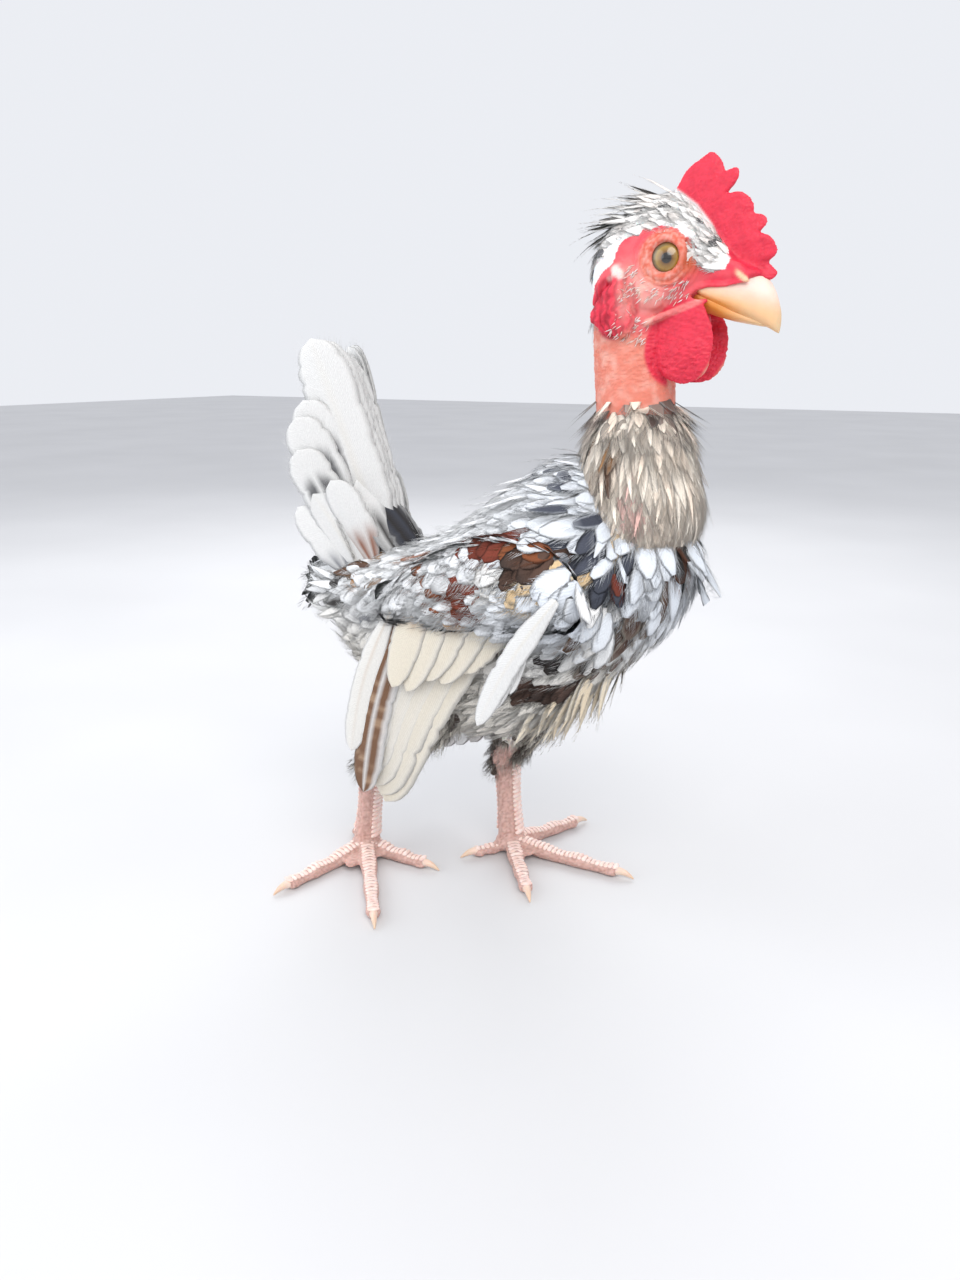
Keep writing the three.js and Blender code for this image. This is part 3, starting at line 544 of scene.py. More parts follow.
def feather_piece(name, groups, material, nodes=()):
    """One object from groups of feathers. A group is (verts, faces, flat, looks), where looks
    gives each feather its colours (main, edge, tip), how sharp the edge is, its length, a place
    on the form's unwrap and a number."""
    tints, vane_uv, bake_uv, forms = [], [], [], []
    for *_, looks in groups:
        if looks["form"] not in forms:
            forms.append(looks["form"])
    for _, _, flat, looks in groups:
        who, s, u = flat["id"], flat["s"], np.abs(flat["u"])
        main, edge, tip = looks["main"][who], looks["edge"][who], looks["tip"][who]
        rim = np.clip(step(0.5, 0.95, u) + step(0.74, 1.0, s), 0, 1) * looks["rim"][who]
        tint = mix(main, edge, rim)
        if "pattern" in looks:
            tint = looks["pattern"](s, flat["u"]) * QUILL_TONE
        spot = step(0.5, 0.75,
                    s) * (1 - step(0.9, 1.0, s)) * (1 - step(0.5, 0.9, u)) * looks["spot"][who]
        tints.append(mix(tint, tip, spot))
        run = s * looks["length"][who] + looks["number"][who] * 40
        vane_uv.append(np.stack([flat["mm"], run], 1))
        patch = np.stack([flat["u"] * 0.0015, (s - 0.5) * 0.003], 1)
        place = looks["place"][who] + [forms.index(looks["form"]), 0]
        bake_uv.append(place / [len(forms), 1] + patch)
    obj = mesh_object(name, *joined_arrays([group[:2] for group in groups]))
    paint(obj, np.concatenate(tints))
    hold(obj.data, "lie", "FLOAT_VECTOR", "vector",
         np.concatenate([group[2]["lie"] for group in groups]))
    lay_out(obj, "vane", np.concatenate(vane_uv) * 0.1)
    lay_out(obj, "OFBake", np.clip(np.concatenate(bake_uv), 0, 1))
    obj.data.materials.append(material)
    if nodes:
        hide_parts(*nodes)
    return obj


# Markings: where the plumage is coloured, on each side of the bird

# x, z, reach in x, reach in z, main colour, edge colour, share of the feathers there
PATCHES = [
    (43.5, 127.5, 10, 2.5, SLATE, ICE, 0.45),
    (54.3, 119, 8, 7, SLATE, ICE, 0.3),
    (59.4, 108, 4.5, 4.5, SLATE, SOOT, 0.85),
    (44.4, 110.5, 4.5, 2, RUST, UMBER, 0.7),
    (47.5, 105.6, 5.5, 4, UMBER, SOOT, 0.95),
    (48.2, 99.5, 3.5, 2.3, BUFF, CREAM, 0.9),
    (39.3, 102.5, 2.5, 4, SNOW, CREAM, 0.9),
    (34.3, 111, 5, 3, MAHOGANY, UMBER, 0.75),
    (30.9, 97.5, 4.5, 5, MAHOGANY, RUST, 0.9),
    (20.9, 96.3, 3, 2.5, RUST, UMBER, 0.85),
    (25, 88, 2, 2, TAN, CREAM, 0.9),
    (1.5, 100.5, 4.5, 2, RUST, CREAM, 0.75),
    (15, 102, 5, 2, RUST, UMBER, 0.65),
    (8, 104, 4, 1.6, SLATE, SNOW, 0.5),
    (-16, 101, 3.5, 3, TAN, CREAM, 0.7),
    (-15.3, 91.2, 4, 3, TAN, UMBER, 0.65),
    (-27, 98, 5, 4.5, UMBER, TAN, 0.7),
    (-29.6, 88.3, 6, 4.5, SOOT, SNOW, 0.65),
    (-12, 82, 7, 4, ASH, SNOW, 0.5),
    (64.1, 105.6, 4, 4.5, BUFF, CREAM, 0.8),
    (66.8, 98.6, 4.5, 5, SLATE, SOOT, 0.75),
    (68.7, 103, 1.6, 4, MAHOGANY, UMBER, 0.7),
    (66.8, 94.8, 3, 2.2, SNOW, ICE, 0.8),
    (61.4, 85.7, 3, 3, SNOW, CREAM, 0.9),
    (53.8, 78.2, 7, 3, SOOT, UMBER, 0.7),
    (56.5, 85, 3, 3, UMBER, TAN, 0.7),
    (45, 69, 12, 4.5, UMBER, SOOT, 0.7),
    (62.4, 77.4, 8, 5, UMBER, CREAM, 0.5),
    (72.7, 88, 6, 5, UMBER, CREAM, 0.2),
    (81.5, 111, 2.5, 4, UMBER, ASH, 0.5),
    (82, 103, 2.5, 5, SOOT, RUST, 0.2),
    (-9, 108, 7, 6, SLATE, SNOW, 0.5),
]
LEFT_SLIP = (3.0, -2.5)     # the left side's patches lie this far off the right side's, in x and z


def base_plumage(points):
    """The ground colour: icy on the back and breast, cream underneath and behind."""
    x, z = points[..., 0], points[..., 2]
    under = step(92, 66, z)
    ground = mix(ICE, SNOW, step(60, 20, x) * 0.7)
    return mix(ground, CREAM, under * 0.8)


def in_patches(points):
    """Each patch's colours and share, and how near to its middle each of the points lies."""
    slip = (points[:, 1] > 0)[:, None] * np.array(LEFT_SLIP)
    x, z = points[:, 0] - slip[:, 0], points[:, 2] - slip[:, 1]
    for px, pz, rx, rz, dark, rim, share in PATCHES:
        yield np.clip(1.8 - ((x - px) / rx) ** 2 - ((z - pz) / rz) ** 2, 0, 1), dark, rim, share


def markings(points, draw):
    """Main, edge and tip colours for feathers that show at these points."""
    n = len(points)
    main = base_plumage(points) * draw.uniform(0.93, 1.03, (n, 1))
    edge = mix(main, SNOW, 0.6)
    spot = np.where(draw.random(n) < 0.07, 0.6, 0.0)
    for near, dark, rim, share in in_patches(points):
        chosen = (draw.random(n) < share * near)[:, None]
        main = np.where(chosen, dark * draw.uniform(0.8, 1.2, (n, 1)), main)
        edge = np.where(chosen, mix(rim, dark, draw.uniform(0, 0.6, (n, 1))), edge)
    return main, edge, np.tile(SOOT, (n, 1)), spot


def looks_of(form, lengths, place, draw, main, edge, tip, spot):
    n = len(lengths)
    return {
        "main": main, "edge": edge, "tip": tip, "spot": spot,
        "length": lengths, "place": place, "form": form,
        "number": draw.random(n), "rim": draw.uniform(0.4, 1, n),
    }


def unwrapped(t, angle):
    """Places on a form as places on its unwrap, clear of the unwrap's edges."""
    return np.stack([t * 0.98 + 0.01, (angle / (2 * np.pi)) % 1 * 0.98 + 0.01], -1)


def coat(form, keep, flow, count, length, width, depth, lift, seed, rows=6, outline=CONTOUR, fray=9,
         inner=0.66, body=0.86, mark=markings, stray=0.06, hook=1.0, camber=0.1, slope=2.6,
         fine=0.17, first=0.38):
    """Groups of contour feathers over a form: a vane and its loose barbs. length, width, depth
    and lift may be functions of the roots' x, y, z; keep says which roots are used; body is the
    vane's share of the width."""
    draw = np.random.default_rng(seed)
    t, angle = form.spread(count, seed)
    used = keep(*form.at(t, angle).T)
    t, angle = t[used], angle[used]
    roots = form.at(t, angle)
    n = len(t)

    def sized(value, spread_by):
        value = value(*roots.T) if callable(value) else np.full(n, float(value))
        return value * draw.uniform(1 - spread_by, 1 + spread_by, n)

    lengths, widths, lifts = sized(length, 0.28), sized(width, 0.22), sized(lift, 0.7)
    turn = draw.normal(0, 0.2, n)

    def turned_flow(points):
        way = flow(points)
        side = np.cross(way, points - form.columns(t)[..., :3])
        return way + unit(side) * turn[:, None]

    points, normals = over(form, t, angle, turned_flow, lengths, rows)
    spines = raised(points, normals, sized(depth, 0.2), lifts, hook)
    looks = looks_of(form, lengths, unwrapped(t, angle), draw, *mark(spines[:, -2], draw))
    vane = vanes(spines[:, :-1], normals[:, :-1], widths * body, outline, camber)
    vane[2]["s"] = vane[2]["s"] * (rows - 2) / (rows - 1)
    ends = barbs(spines, normals, widths, fray, outline, inner, slope, fine, stray, seed + 1,
                 camber, first)
    return [(*vane, looks), (*ends, looks)]


def outward(verts, faces):
    """The same closed shapes with their faces turned to point out."""
    volume = 0.0
    for f in faces:
        p = [verts[f[:, k]] for k in range(f.shape[1])]
        for k in range(1, f.shape[1] - 1):
            volume += (p[0] * np.cross(p[k], p[k + 1])).sum()
    return (verts, faces) if volume > 0 else (verts, [f[:, ::-1] for f in faces])


def coords(obj):
    """An object's vertices in the bird's frame, in millimetres."""
    flat = np.empty(len(obj.data.vertices) * 3)
    obj.data.vertices.foreach_get("co", flat)
    return (flat.reshape(-1, 3) - SHIFT) / MM


def move(obj, points):
    obj.data.vertices.foreach_set("co", placed(points).ravel())
    obj.data.update()


def normals_of(obj):
    flat = np.empty(len(obj.data.vertices) * 3, np.float32)
    obj.data.vertex_normals.foreach_get("vector", flat)
    return flat.reshape(-1, 3).astype(float)


def applied(obj):
    """The object with its modifiers worked into its mesh."""
    graph = bpy.context.evaluated_depsgraph_get()
    mesh = bpy.data.meshes.new_from_object(obj.evaluated_get(graph))
    obj.modifiers.clear()
    obj.data = mesh
    return obj


def remeshed(name, parts, voxel, smooth):
    """One skin over closed parts that overlap."""
    obj = mesh_object(name, *joined_arrays([outward(*part) for part in parts]))
    remesh = obj.modifiers.new("one skin", "REMESH")
    remesh.mode, remesh.voxel_size = "VOXEL", voxel * MM
    soften = obj.modifiers.new("soft", "SMOOTH")
    soften.factor, soften.iterations = 0.5, smooth
    return applied(obj)


def united(obj, others):
    for other in others:
        union = obj.modifiers.new("with " + other.name, "BOOLEAN")
        union.operation, union.solver, union.object = "UNION", "MANIFOLD", other
    applied(obj)
    for other in others:
        bpy.data.objects.remove(other)
    return obj


def shell_of(rings, sides, opening):
    """Angles and places of the rings of a unit ball about Y, open at both ends by a small angle."""
    polar = np.linspace(opening, np.pi - opening, rings)[:, None]
    around = round_steps(sides)
    shell = np.stack([np.sin(polar) * np.cos(around), np.cos(polar) + 0 * around,
                      np.sin(polar) * np.sin(around)], -1)
    return polar, around, shell


def ball(centre, halves, turn=0.0, tilt=0.0):
    """A closed ball of three half sizes, turned in the side view and tilted out at the top."""
    verts, faces = tube_mesh(shell_of(14, 22, 0.1)[2], np.array([[0, 1.0, 0], [0, -1.0, 0]]))
    return turned(turned(verts * halves, 0, 2, turn), 1, 2, -tilt) + centre, faces


def curve_through(knots, count):
    """Points along a smooth curve through knots, whose columns may hold more than places."""
    knots = np.asarray(knots, float)
    run = np.concatenate([[0], np.cumsum(np.linalg.norm(np.diff(knots[:, :3], axis=0), axis=1))])
    return smooth_between(knots, run, np.gradient(knots, run, axis=0),
                          np.linspace(0, run[-1], count))


def hose(knots, up, count=24, sides=14):
    """A closed tube through knots of (x, y, z, half across, half deep)."""
    made = curve_through(knots, count)
    along = unit(np.gradient(made[:, :3], axis=0))
    across = unit(np.cross(along, up))
    angle = round_steps(sides)
    rings = (made[:, None, :3] + across[:, None] * (made[:, 3, None] * np.cos(angle))[..., None]
             + np.cross(across, along)[:, None] * (made[:, 4, None] * np.sin(angle))[..., None])
    cap = along[[0, -1]] * np.array([[-0.4], [0.4]]) * made[[0, -1], 3][:, None]
    return tube_mesh(rings, made[[0, -1], :3] + cap)


# The comb: a blade on a line over the brow, cut into rounded points. Base line: x, z
COMB_BASE = [(-0.8, 17.4), (5.5, 15), (10.5, 11.6), (14.4, 7.8), (18.6, 4.6), (24.4, 2.6)]
# Place along the base, reach, half length of each point
COMB_POINTS = [(0.09, 11.0, 0.12), (0.24, 11.8, 0.055), (0.41, 10.2, 0.1), (0.54, 11.6, 0.065),
               (0.69, 11.4, 0.1), (0.87, 7.8, 0.13)]
COMB_VALLEY = 6.4


def comb_reach(s):
    domes = [
        COMB_VALLEY + (reach - COMB_VALLEY) * np.sqrt(np.clip(1 - ((s - place) / half) ** 2, 0, 1))
        for place, reach, half in COMB_POINTS
    ]
    return np.max(domes, axis=0) * np.minimum(1, 0.5 + 8 * np.minimum(s, 0.6 * (1 - s)))


def comb_shape():
    count, steps = 150, 26
    s = np.linspace(0, 1, count)
    base = curve_through([(x, 0, z) for x, z in COMB_BASE], count)
    lean = np.radians(80 + (4 - 80) * s**0.8)
    out = np.stack([np.cos(lean), 0 * s, np.sin(lean)], 1)
    r = np.concatenate([np.linspace(-0.3, 1, steps), np.linspace(1, -0.3, steps)[1:-1]])
    side = np.concatenate([np.ones(steps), -np.ones(steps - 2)])
    rounded = np.sqrt(np.clip(1 - np.clip(r, 0, 1) ** 5, 0, 1))
    half = (1.7 + (0.95 - 1.7) * np.clip(r, 0, 1)) * rounded
    fold = 1 + 0.22 * np.cos(2 * np.pi * s * 6.3 + 0.4)[:, None] * np.clip(r, 0, 1)
    reach = comb_reach(s)[:, None] * r
    sway = 0.5 * np.sin(2 * np.pi * s * 2.6)[:, None] * np.clip(r, 0, 1) ** 2
    points = base[:, None] + out[:, None] * reach[..., None]
    points[..., 1] += side * half * fold + sway
    return tube_mesh(points, points[[0, -1]].mean(1))


def mirrored(part):
    verts, faces = part
    return verts * [1, -1, 1], [f[:, ::-1] for f in faces]


def ring_of_skin(offset, radius, thick, flat, start=0, end=360, tilt=0.0):
    """A fold of skin round the eye, from one angle to another, thinner at its ends."""
    count, sides = 40, 10
    centre = EYE_AT + offset
    angle = np.radians(np.linspace(start, end, count))
    places = np.stack([centre[0] + radius[0] * np.cos(angle), centre[1] + tilt * np.sin(angle),
                       centre[2] + radius[1] * np.sin(angle)], 1)
    if end - start < 360:
        swell = 0.35 + 0.65 * np.sin(np.linspace(0.05, np.pi - 0.05, count))
        return hose(np.column_stack([places, thick * swell, flat * swell]), (0, 1, 0), count, sides)
    n = count - 1
    out = np.stack([np.cos(angle[:-1]), 0 * angle[:-1], np.sin(angle[:-1])], 1)
    turn = round_steps(sides)
    rings = (places[:-1, None] + out[:, None] * (thick * np.cos(turn))[None, :, None]
             + np.array([0, 1, 0]) * (flat * np.sin(turn))[None, :, None])
    return rings.reshape(-1, 3), [ring_quads(n + 1, sides) % (n * sides)]


def face_parts():
    """The right half's loose parts of the face in the head's frame, drawn on the side y > 0."""
    return [
        ring_of_skin((0, 3.1, 0), (4.35, 4.35), 0.85, 0.9),
        ring_of_skin((0, 2.6, 0.1), (5.2, 5.1), 0.7, 0.8, 20, 165, 0.25),
        ring_of_skin((0, 2.5, -0.3), (5.5, 5.6), 0.6, 0.7, 185, 350, -0.1),
        ring_of_skin((0.2, 2.0, -0.6), (6.8, 6.9), 0.55, 0.6, 170, 345, -0.1),
        # brow, cheek and the cushion before the eye
        ball((1.5, 7.4, 7.2), (8, 2.2, 2.2), 8, 12),
        ball((0.5, 8.4, -5.6), (6.5, 2.0, 4.5), -20, 0),
        ball((9.8, 6.6, 1.8), (2.6, 2.2, 3.0), 0, 0),
        ball((-7.6, 8.6, -2.5), (3.6, 1.8, 5.5), 15, 0),
        ball((-6.4, 9.9, -3.6), (1.7, 0.9, 1.8), 0, 0),
        # folds of the ear lobe
        ball((-9.6, 8.4, -7.5), (1.6, 1.9, 5.5), -8, 0),
        ball((-6.4, 9.8, -8.8), (1.7, 1.8, 4.6), -22, 0),
        ball((-3.6, 10.0, -9.6), (1.5, 1.7, 4.4), 28, 0),
        ball((-6.8, 10.2, -13.2), (3.0, 1.8, 4.2), -30, 0),
        ball((-2.2, 10.3, -14.2), (3.6, 1.8, 4.2), 25, 0),
        ball((-4.6, 9.6, -15.4), (3.8, 1.5, 3.2), 0, 0),
        # wattle
        ball((13.4, 6.0, -15.6), (7.9, 1.4, 9.6), 6, 5),
        ball((11.4, 6.1, -9.4), (6.2, 1.4, 4.0), 22, 4),
        ball((14.6, 6.2, -18.4), (7.0, 1.7, 6.8), 0, 5),
        # lip fold, running back from the corner of the mouth
        hose([(3.4, 8.6, -13.6, 0.6, 0.6), (6.2, 8.4, -11.4, 0.7, 0.7), (9.4, 7.6, -9.0, 0.7, 0.7),
              (13, 6.4, -6.4, 0.7, 0.7), (16, 5.2, -4.8, 0.6, 0.6)], (0, 1, 0)),
        hose([(10.6, 6.6, -5.6, 0.8, 0.9), (12.6, 6.2, -2.8, 0.8, 0.9), (15.4, 5.9, -1.4, 0.6, 0.8),
              (18.4, 5.3, -0.7, 0.5, 0.6), (21, 4.9, 0.5, 0.5, 0.5), (23.4, 4.2, 1.6, 0.5, 0.5)],
             (0, 1, 0)),
        # nostril's cushion and lid
        ball((20.2, 4.0, 3.0), (3.6, 1.5, 2.0), -12, 0),
        ball((22.5, 4.6, 2.2), (1.9, 0.7, 0.65), -24, 0),
    ]


def lobe_folds(x, z, coarse):
    """1 on the ridges of the ear lobe's upright folds, 0 in the creases between them."""
    return 1 - np.abs(np.sin(2 * np.pi * (0.95 * x + 0.3 * z + coarse) / 4))


def head_skin():
    parts = [skull.closed(60, 48), neck.closed(60, 40)]
    halves = face_parts()
    inside = [comb_shape(),
              ball((8, 0, -9), (9, 6.5, 4), -8)] + halves + [mirrored(part) for part in halves]
    parts += [(from_head(verts), faces) for verts, faces in inside]
    obj = remeshed("head_skin", parts, 0.42, 3)
    points, normals = coords(obj), normals_of(obj)
    local, x, z, side = head_sides(points)
    comb, wattle, lobe = comb_mask(local), oval_mask(local, *WATTLE), oval_mask(local, *LOBE)
    fine, coarse, broad = (
        bumpy(points, size, seed) for size, seed in ((0.55, 3), (1.7, 5), (4.5, 7)))
    away = from_eye(x, z)
    outer = step(6, 8, side) * step(-20, -16, z) * (1 - comb)
    round_eye = step(4.9, 5.6, away) * (1 - step(7.5, 9.5, away)) * outer
    rings = np.sin(2 * np.pi * (away + 0.35 * coarse) / 1.15) * round_eye
    red = np.clip(comb + wattle, 0, 1)
    lift = fine * (0.06 * red + 0.04) + coarse * (0.09 + 0.14 * lobe) + rings * 0.13
    lift += 0.4 * lobe * lobe_folds(x, z, coarse) ** 0.7
    lift += broad * 0.3 * wattle + 0.05 * wattle * np.sin(2 * np.pi * (z + 0.4 * coarse) / 1.3)
    bare_neck = step(146, 152, points[:, 2]) * (1 - step(-16, -12, z))
    lift += bare_neck * (0.16 * bumpy(points * [1, 1, 2.2], 1.5, 11) + 0.1 * fine)
    move(obj, points + normals * lift[:, None])
    return obj


def from_eye(x, z):
    return np.hypot(x - EYE_AT[0], z - EYE_AT[2])


def comb_mask(local):
    base = np.array(COMB_BASE)
    edge = np.interp(local[:, 0], base[:, 0], base[:, 1], left=17.4, right=2.6)
    inside = step(-5.5, -3.5, local[:, 0]) * (1 - step(3.2, 4.4, np.abs(local[:, 1])))
    return step(edge - 0.4, edge + 0.5, local[:, 2]) * inside


# Ovals in the side view: middle, reach, where the edge fades, and how far out from the middle plane
WATTLE = ((13.2, -16), (8.4, 10.8), (0.9, 1.1), (2.5, 3.8))
LOBE = ((-5, -11.5), (6.5, 8), (0.8, 1.15), (5.5, 7.5))


def oval_mask(local, middle, reach, edge, out):
    near = ((local[:, 0] - middle[0]) / reach[0]) ** 2 + ((local[:, 2] - middle[1]) / reach[1]) ** 2
    return (1 - step(*edge, near)) * step(*out, np.abs(local[:, 1]))


def under_coat(points):
    """The markings of the plumage, for the skin under it."""
    tint = base_plumage(points)
    for near, dark, rim, share in in_patches(points):
        tint = mix(tint, mix(dark, rim, 0.3), near * share)
    return tint


def skin_tint(points):
    """The colour of the skin all over: colours and their shares, each laid over the last."""
    local, x, z, side = head_sides(points)
    coarse, fine = bumpy(points, 2.2, 21), bumpy(points, 0.7, 22)
    height = points[:, 2]
    on_neck, legs = step(141, 144, height), 1 - step(36, 42, height)
    on_head = step(-19, -14, z) * step(-22, -17,
                                       x) * (1 - step(-7, -11, x) * (1 - step(4, 7, side)))
    cheek = mound(x, z, (0.5, -6.5), (7, 5)) * step(4, 7, side) * on_head
    lids = (1 - step(5.6, 7.2, from_eye(x, z))) * step(6, 8, side)
    before_eye = mound(x, z, (10.4, 2.6), (2.5, 3)) * step(4, 6, side)
    below_spot = mound(x + 0.25 * z, z, (-4.2, -9), (2.4, 5.5)) * step(6, 8, side)
    spot = mound(x + 0.8 * coarse, z + 0.9 * coarse, (-6.2, -3.7), (2.3, 2.2)) * step(7, 9, side)
    # the creases between the ear lobe's folds, where the lobe carries painted shade
    crease = 1 - lobe_folds(x, z, bumpy(points, 1.7, 5))
    lobe = oval_mask(local, *LOBE) * (1 - 0.5 * np.clip(below_spot * 2, 0, 1))
    feathered = above_cap_edge(points, np.where(x < -8, 4.5, -0.5)) & (height > 150)
    comb, wattle = comb_mask(local), oval_mask(local, *WATTLE)
    red = np.clip(comb + wattle, 0, 1)
    lip = 1 - step(0.7, 1.3, np.abs((z + 9.2) - (x - 9.3) * 0.72))
    lip = lip * step(2.5, 4, x) * (1 - step(14, 16, x)) * step(5, 7, side) * (1 - wattle * 0.6)
    nostril_lid = mound(x, z + (x - 22.5) * 0.44, (22.5, 2.1), (1.9, 0.7), 4) * step(4.2, 4.7, side)

    def blend(first, second, share):
        return mix(first, second, np.clip(share, 0, 1))

    tint = under_coat(points)
    for tone, share in (
        (CREAM, step(110, 118, height) * step(48, 54, points[:, 0])),
        # leg skin, darker than the scutes over it: partly the darker skin between the plates,
        # partly painted shade in the gaps between them
        (blend(LEG_PINK, LEG_DARK, 0.45 + 0.8 * fine), legs),
        (blend(NECK_SALMON, FACE_PALE, 0.1 + 0.6 * coarse), on_neck),
        (blend(FACE_PINK, COMB_RED,
               0.45 + 0.5 * coarse + 0.25 * step(-4, -9, x) + 0.3 * step(12, 16, x)), on_head),
        (FACE_PALE, np.clip(cheek * (0.75 + 0.6 * coarse), 0, 1)),
        (blend(FACE_ORANGE, FACE_PALE, 0.3 + 0.8 * fine), lids * 0.75),
        (FACE_ORANGE * 0.85, before_eye),
        (FACE_PALE, below_spot * 0.6),
        # ear lobe: red mottled with deep red, and painted shade in the creases between its folds
        (blend(COMB_RED, COMB_DEEP * 0.8, 0.1 + coarse + step(0.6, 1.0, crease)), lobe),
        (mix(FACE_PALE, SNOW, 0.45), step(0.3, 0.65, spot)),
        (SNOW, feathered.astype(float)),
        (blend(COMB_RED, COMB_DEEP, 0.25 + 0.5 * coarse + 0.4 * fine), red),
        (FACE_PALE, lip * 0.8),
        (colour("f3d9b0"), nostril_lid),
    ):
        tint = mix(tint, tone, share)
    return tint * (1 - 0.14 * np.maximum(on_neck, legs)[:, None])


# Place along the bone, half across, half deep: foot to hock, and hock to knee
SHANK = [(0, 4.2, 4.6), (0.2, 3.6, 4.5), (0.5, 3.4, 4.3), (0.8, 3.7, 4.6), (1, 4.4, 5.3)]
SHIN = [(0.12, 4.6, 5.6), (0.4, 6.4, 8.4), (0.7, 6.6, 9.5), (1, 6.5, 9)]
ANKLE = np.array([0, 0, 4.5])     # from the sole up to the foot end of the shank's middle line


def joints_of(leg):
    return [np.array(leg[k], float) for k in ("sole", "hock", "knee")]


def shank_part(leg):
    sole, hock, knee = joints_of(leg)
    return hose([
        (*(start + (end - start) * t), across, deep)
        for start, end, rows in ((sole + ANKLE, hock, SHANK), (hock, knee, SHIN))
        for t, across, deep in rows
    ], (0, 1, 0), 40, 26)


def level_way(degrees):
    """The level direction at an angle from the bird's X."""
    return np.array([math.cos(math.radians(degrees)), math.sin(math.radians(degrees)), 0])


def toe_path(leg, name):
    """Middle line of a toe: places, half thickness, direction."""
    heading, length = leg["toes"][name]
    way = level_way(heading)
    t = np.linspace(0, 1, 30)
    height = 4.2 + (1.85 - 4.2) * np.minimum(1, 2.2 * t)
    radius = 3.3 + (2.0 - 3.3) * np.sqrt(t) + 0.2 * np.cos(6 * np.pi * t)
    if name == "hind":
        radius = radius * 0.82
    places = joints_of(leg)[0] + way * (t * length)[:, None]
    places[:, 2] = np.maximum(height, radius * 0.93)
    return places, radius, way


def foot_parts(leg):
    """The toes with the pads under them, and the pad under the foot."""
    x, y, _ = leg["sole"]
    parts = []
    for name, (_, length) in leg["toes"].items():
        places, radius, way = toe_path(leg, name)
        parts.append(hose(np.column_stack([places, radius, radius * 0.92]), (0, 0, 1), 40, 18))
        for share in ((0.4, 0.7, 0.95) if name != "hind" else (0.55, 0.95)):
            pad = [x, y, 1.5] + way * share * length
            parts.append(ball(pad, (2.4, 2.2, 1.45)))
    return parts + [ball((x, y, 3.4), (5.2, 5.0, 3.3))]


WEBS = [("right", "outer", "middle", 13), ("right", "middle", "inner", 8),
        ("left", "middle", "inner", 9),
        ("left", "middle", "outer", 8)]


def web_part(leg, first, second, reach):
    """The fold of skin between two toes."""
    middle = unit(level_way(leg["toes"][first][0]) + level_way(leg["toes"][second][0]))
    centre = joints_of(leg)[0] + middle * reach * 0.55 + [0, 0, 2.6]
    verts, faces = ball((0, 0, 0), (reach * 0.62, 3.6, 1.2))
    return turned(verts, 0, 1, math.degrees(math.atan2(middle[1], middle[0]))) + centre, faces


def new_group(name, kind, inputs, outputs):
    """A node group with named sockets of given kinds, and the sockets inside it."""
    group = bpy.data.node_groups.new(name, kind)
    for in_out, sockets in (("INPUT", inputs), ("OUTPUT", outputs)):
        for label, socket in sockets.items():
            group.interface.new_socket(label, in_out=in_out, socket_type="NodeSocket" + socket)
    return group, add(group, "NodeGroupInput").outputs, add(group, "NodeGroupOutput").inputs


def calc(tree, operation, *values):
    """The result of a sum on numbers or sockets."""
    return add(tree, "ShaderNodeMath", dict(enumerate(values)), operation=operation).outputs[0]


def scute_tree():
    """Sets overlapping rounded plates along each path, as wide as the path's own thickness says."""
    tree, given, result = new_group(
        "scutes", "GeometryNodeTree", {"Paths": "Geometry", "Spacing": "Float", "Skin": "Material"},
        {"Plates": "Geometry"})

    def geo(kind, inputs=None, **settings):
        return add(tree, "GeometryNode" + kind, inputs, **settings).outputs

    def aim(inputs, **settings):
        return add(tree, "FunctionNodeAlignRotationToVector", inputs, **settings).outputs[0]

    line = geo("MeshToCurve", {"Mesh": given["Paths"]})["Curve"]
    even = geo("ResampleCurve", {"Curve": line, "Length": given["Spacing"]}, mode="LENGTH")["Curve"]
    thick = geo("InputNamedAttribute", {"Name": "thick"}, data_type="FLOAT")["Attribute"]
    up = geo("InputNamedAttribute", {"Name": "up"}, data_type="FLOAT_VECTOR")["Attribute"]
    along = aim({"Vector": geo("InputTangent")["Tangent"]}, axis="X")
    long = calc(tree, "MULTIPLY", given["Spacing"], SCUTE_LAP)
    high = calc(tree, "MULTIPLY", thick, SCUTE_HEIGHT)
    plate = geo("MeshUVSphere", {"Segments": 14, "Rings": 8, "Radius": 1.0})["Mesh"]
    laid = geo("InstanceOnPoints", {
        "Points": even, "Instance": geo("SetShadeSmooth", {"Geometry": plate})["Geometry"],
        "Rotation": aim({"Rotation": along, "Vector": up}, axis="Z", pivot_axis="X"),
        "Scale": add(tree, "ShaderNodeCombineXYZ",
                     {"X": long, "Y": thick, "Z": high}).outputs[0]})["Instances"]
    real = geo("RealizeInstances", {"Geometry": laid})["Geometry"]
    worn = geo("SetMaterial", {"Geometry": real, "Material": given["Skin"]})["Geometry"]
    tree.links.new(worn, result["Plates"])
    return tree


SCUTE_SPACING = 1.5       # millimetres from plate to plate
SCUTE_LAP = 0.66          # half a plate's length, of the spacing
SCUTE_HEIGHT = 0.3        # half a plate's height, of its half width


def scute_paths(leg):
    """Lines round the shank and over each toe: places, half widths, directions away."""
    paths = []
    sole, hock, _ = joints_of(leg)
    for turn, wide, out in ((0, 3.0, 2.6), (-62, 2.2, 2.6), (62, 2.2, 2.6), (180, 2.0, 3.0)):
        up = level_way(turn)
        t = np.linspace(0.12, 1.0, 24)[:, None]
        swell = 0.9 + 0.22 * (2 * t - 1) ** 2
        reach = (out + 0.95 * abs(up[0])) * swell
        middle = sole + ANKLE + (hock - sole - ANKLE) * t
        paths.append((middle + up * reach, (wide * swell)[:, 0], np.tile(up, (24, 1))))
    for name in leg["toes"]:
        places, radius, _ = (rows[2:] for rows in toe_path(leg, name))
        up = np.tile([0.0, 0, 1.0], (len(places), 1))
        paths.append((places + up * (radius * 0.68)[:, None], radius * 0.86, up))
    return paths


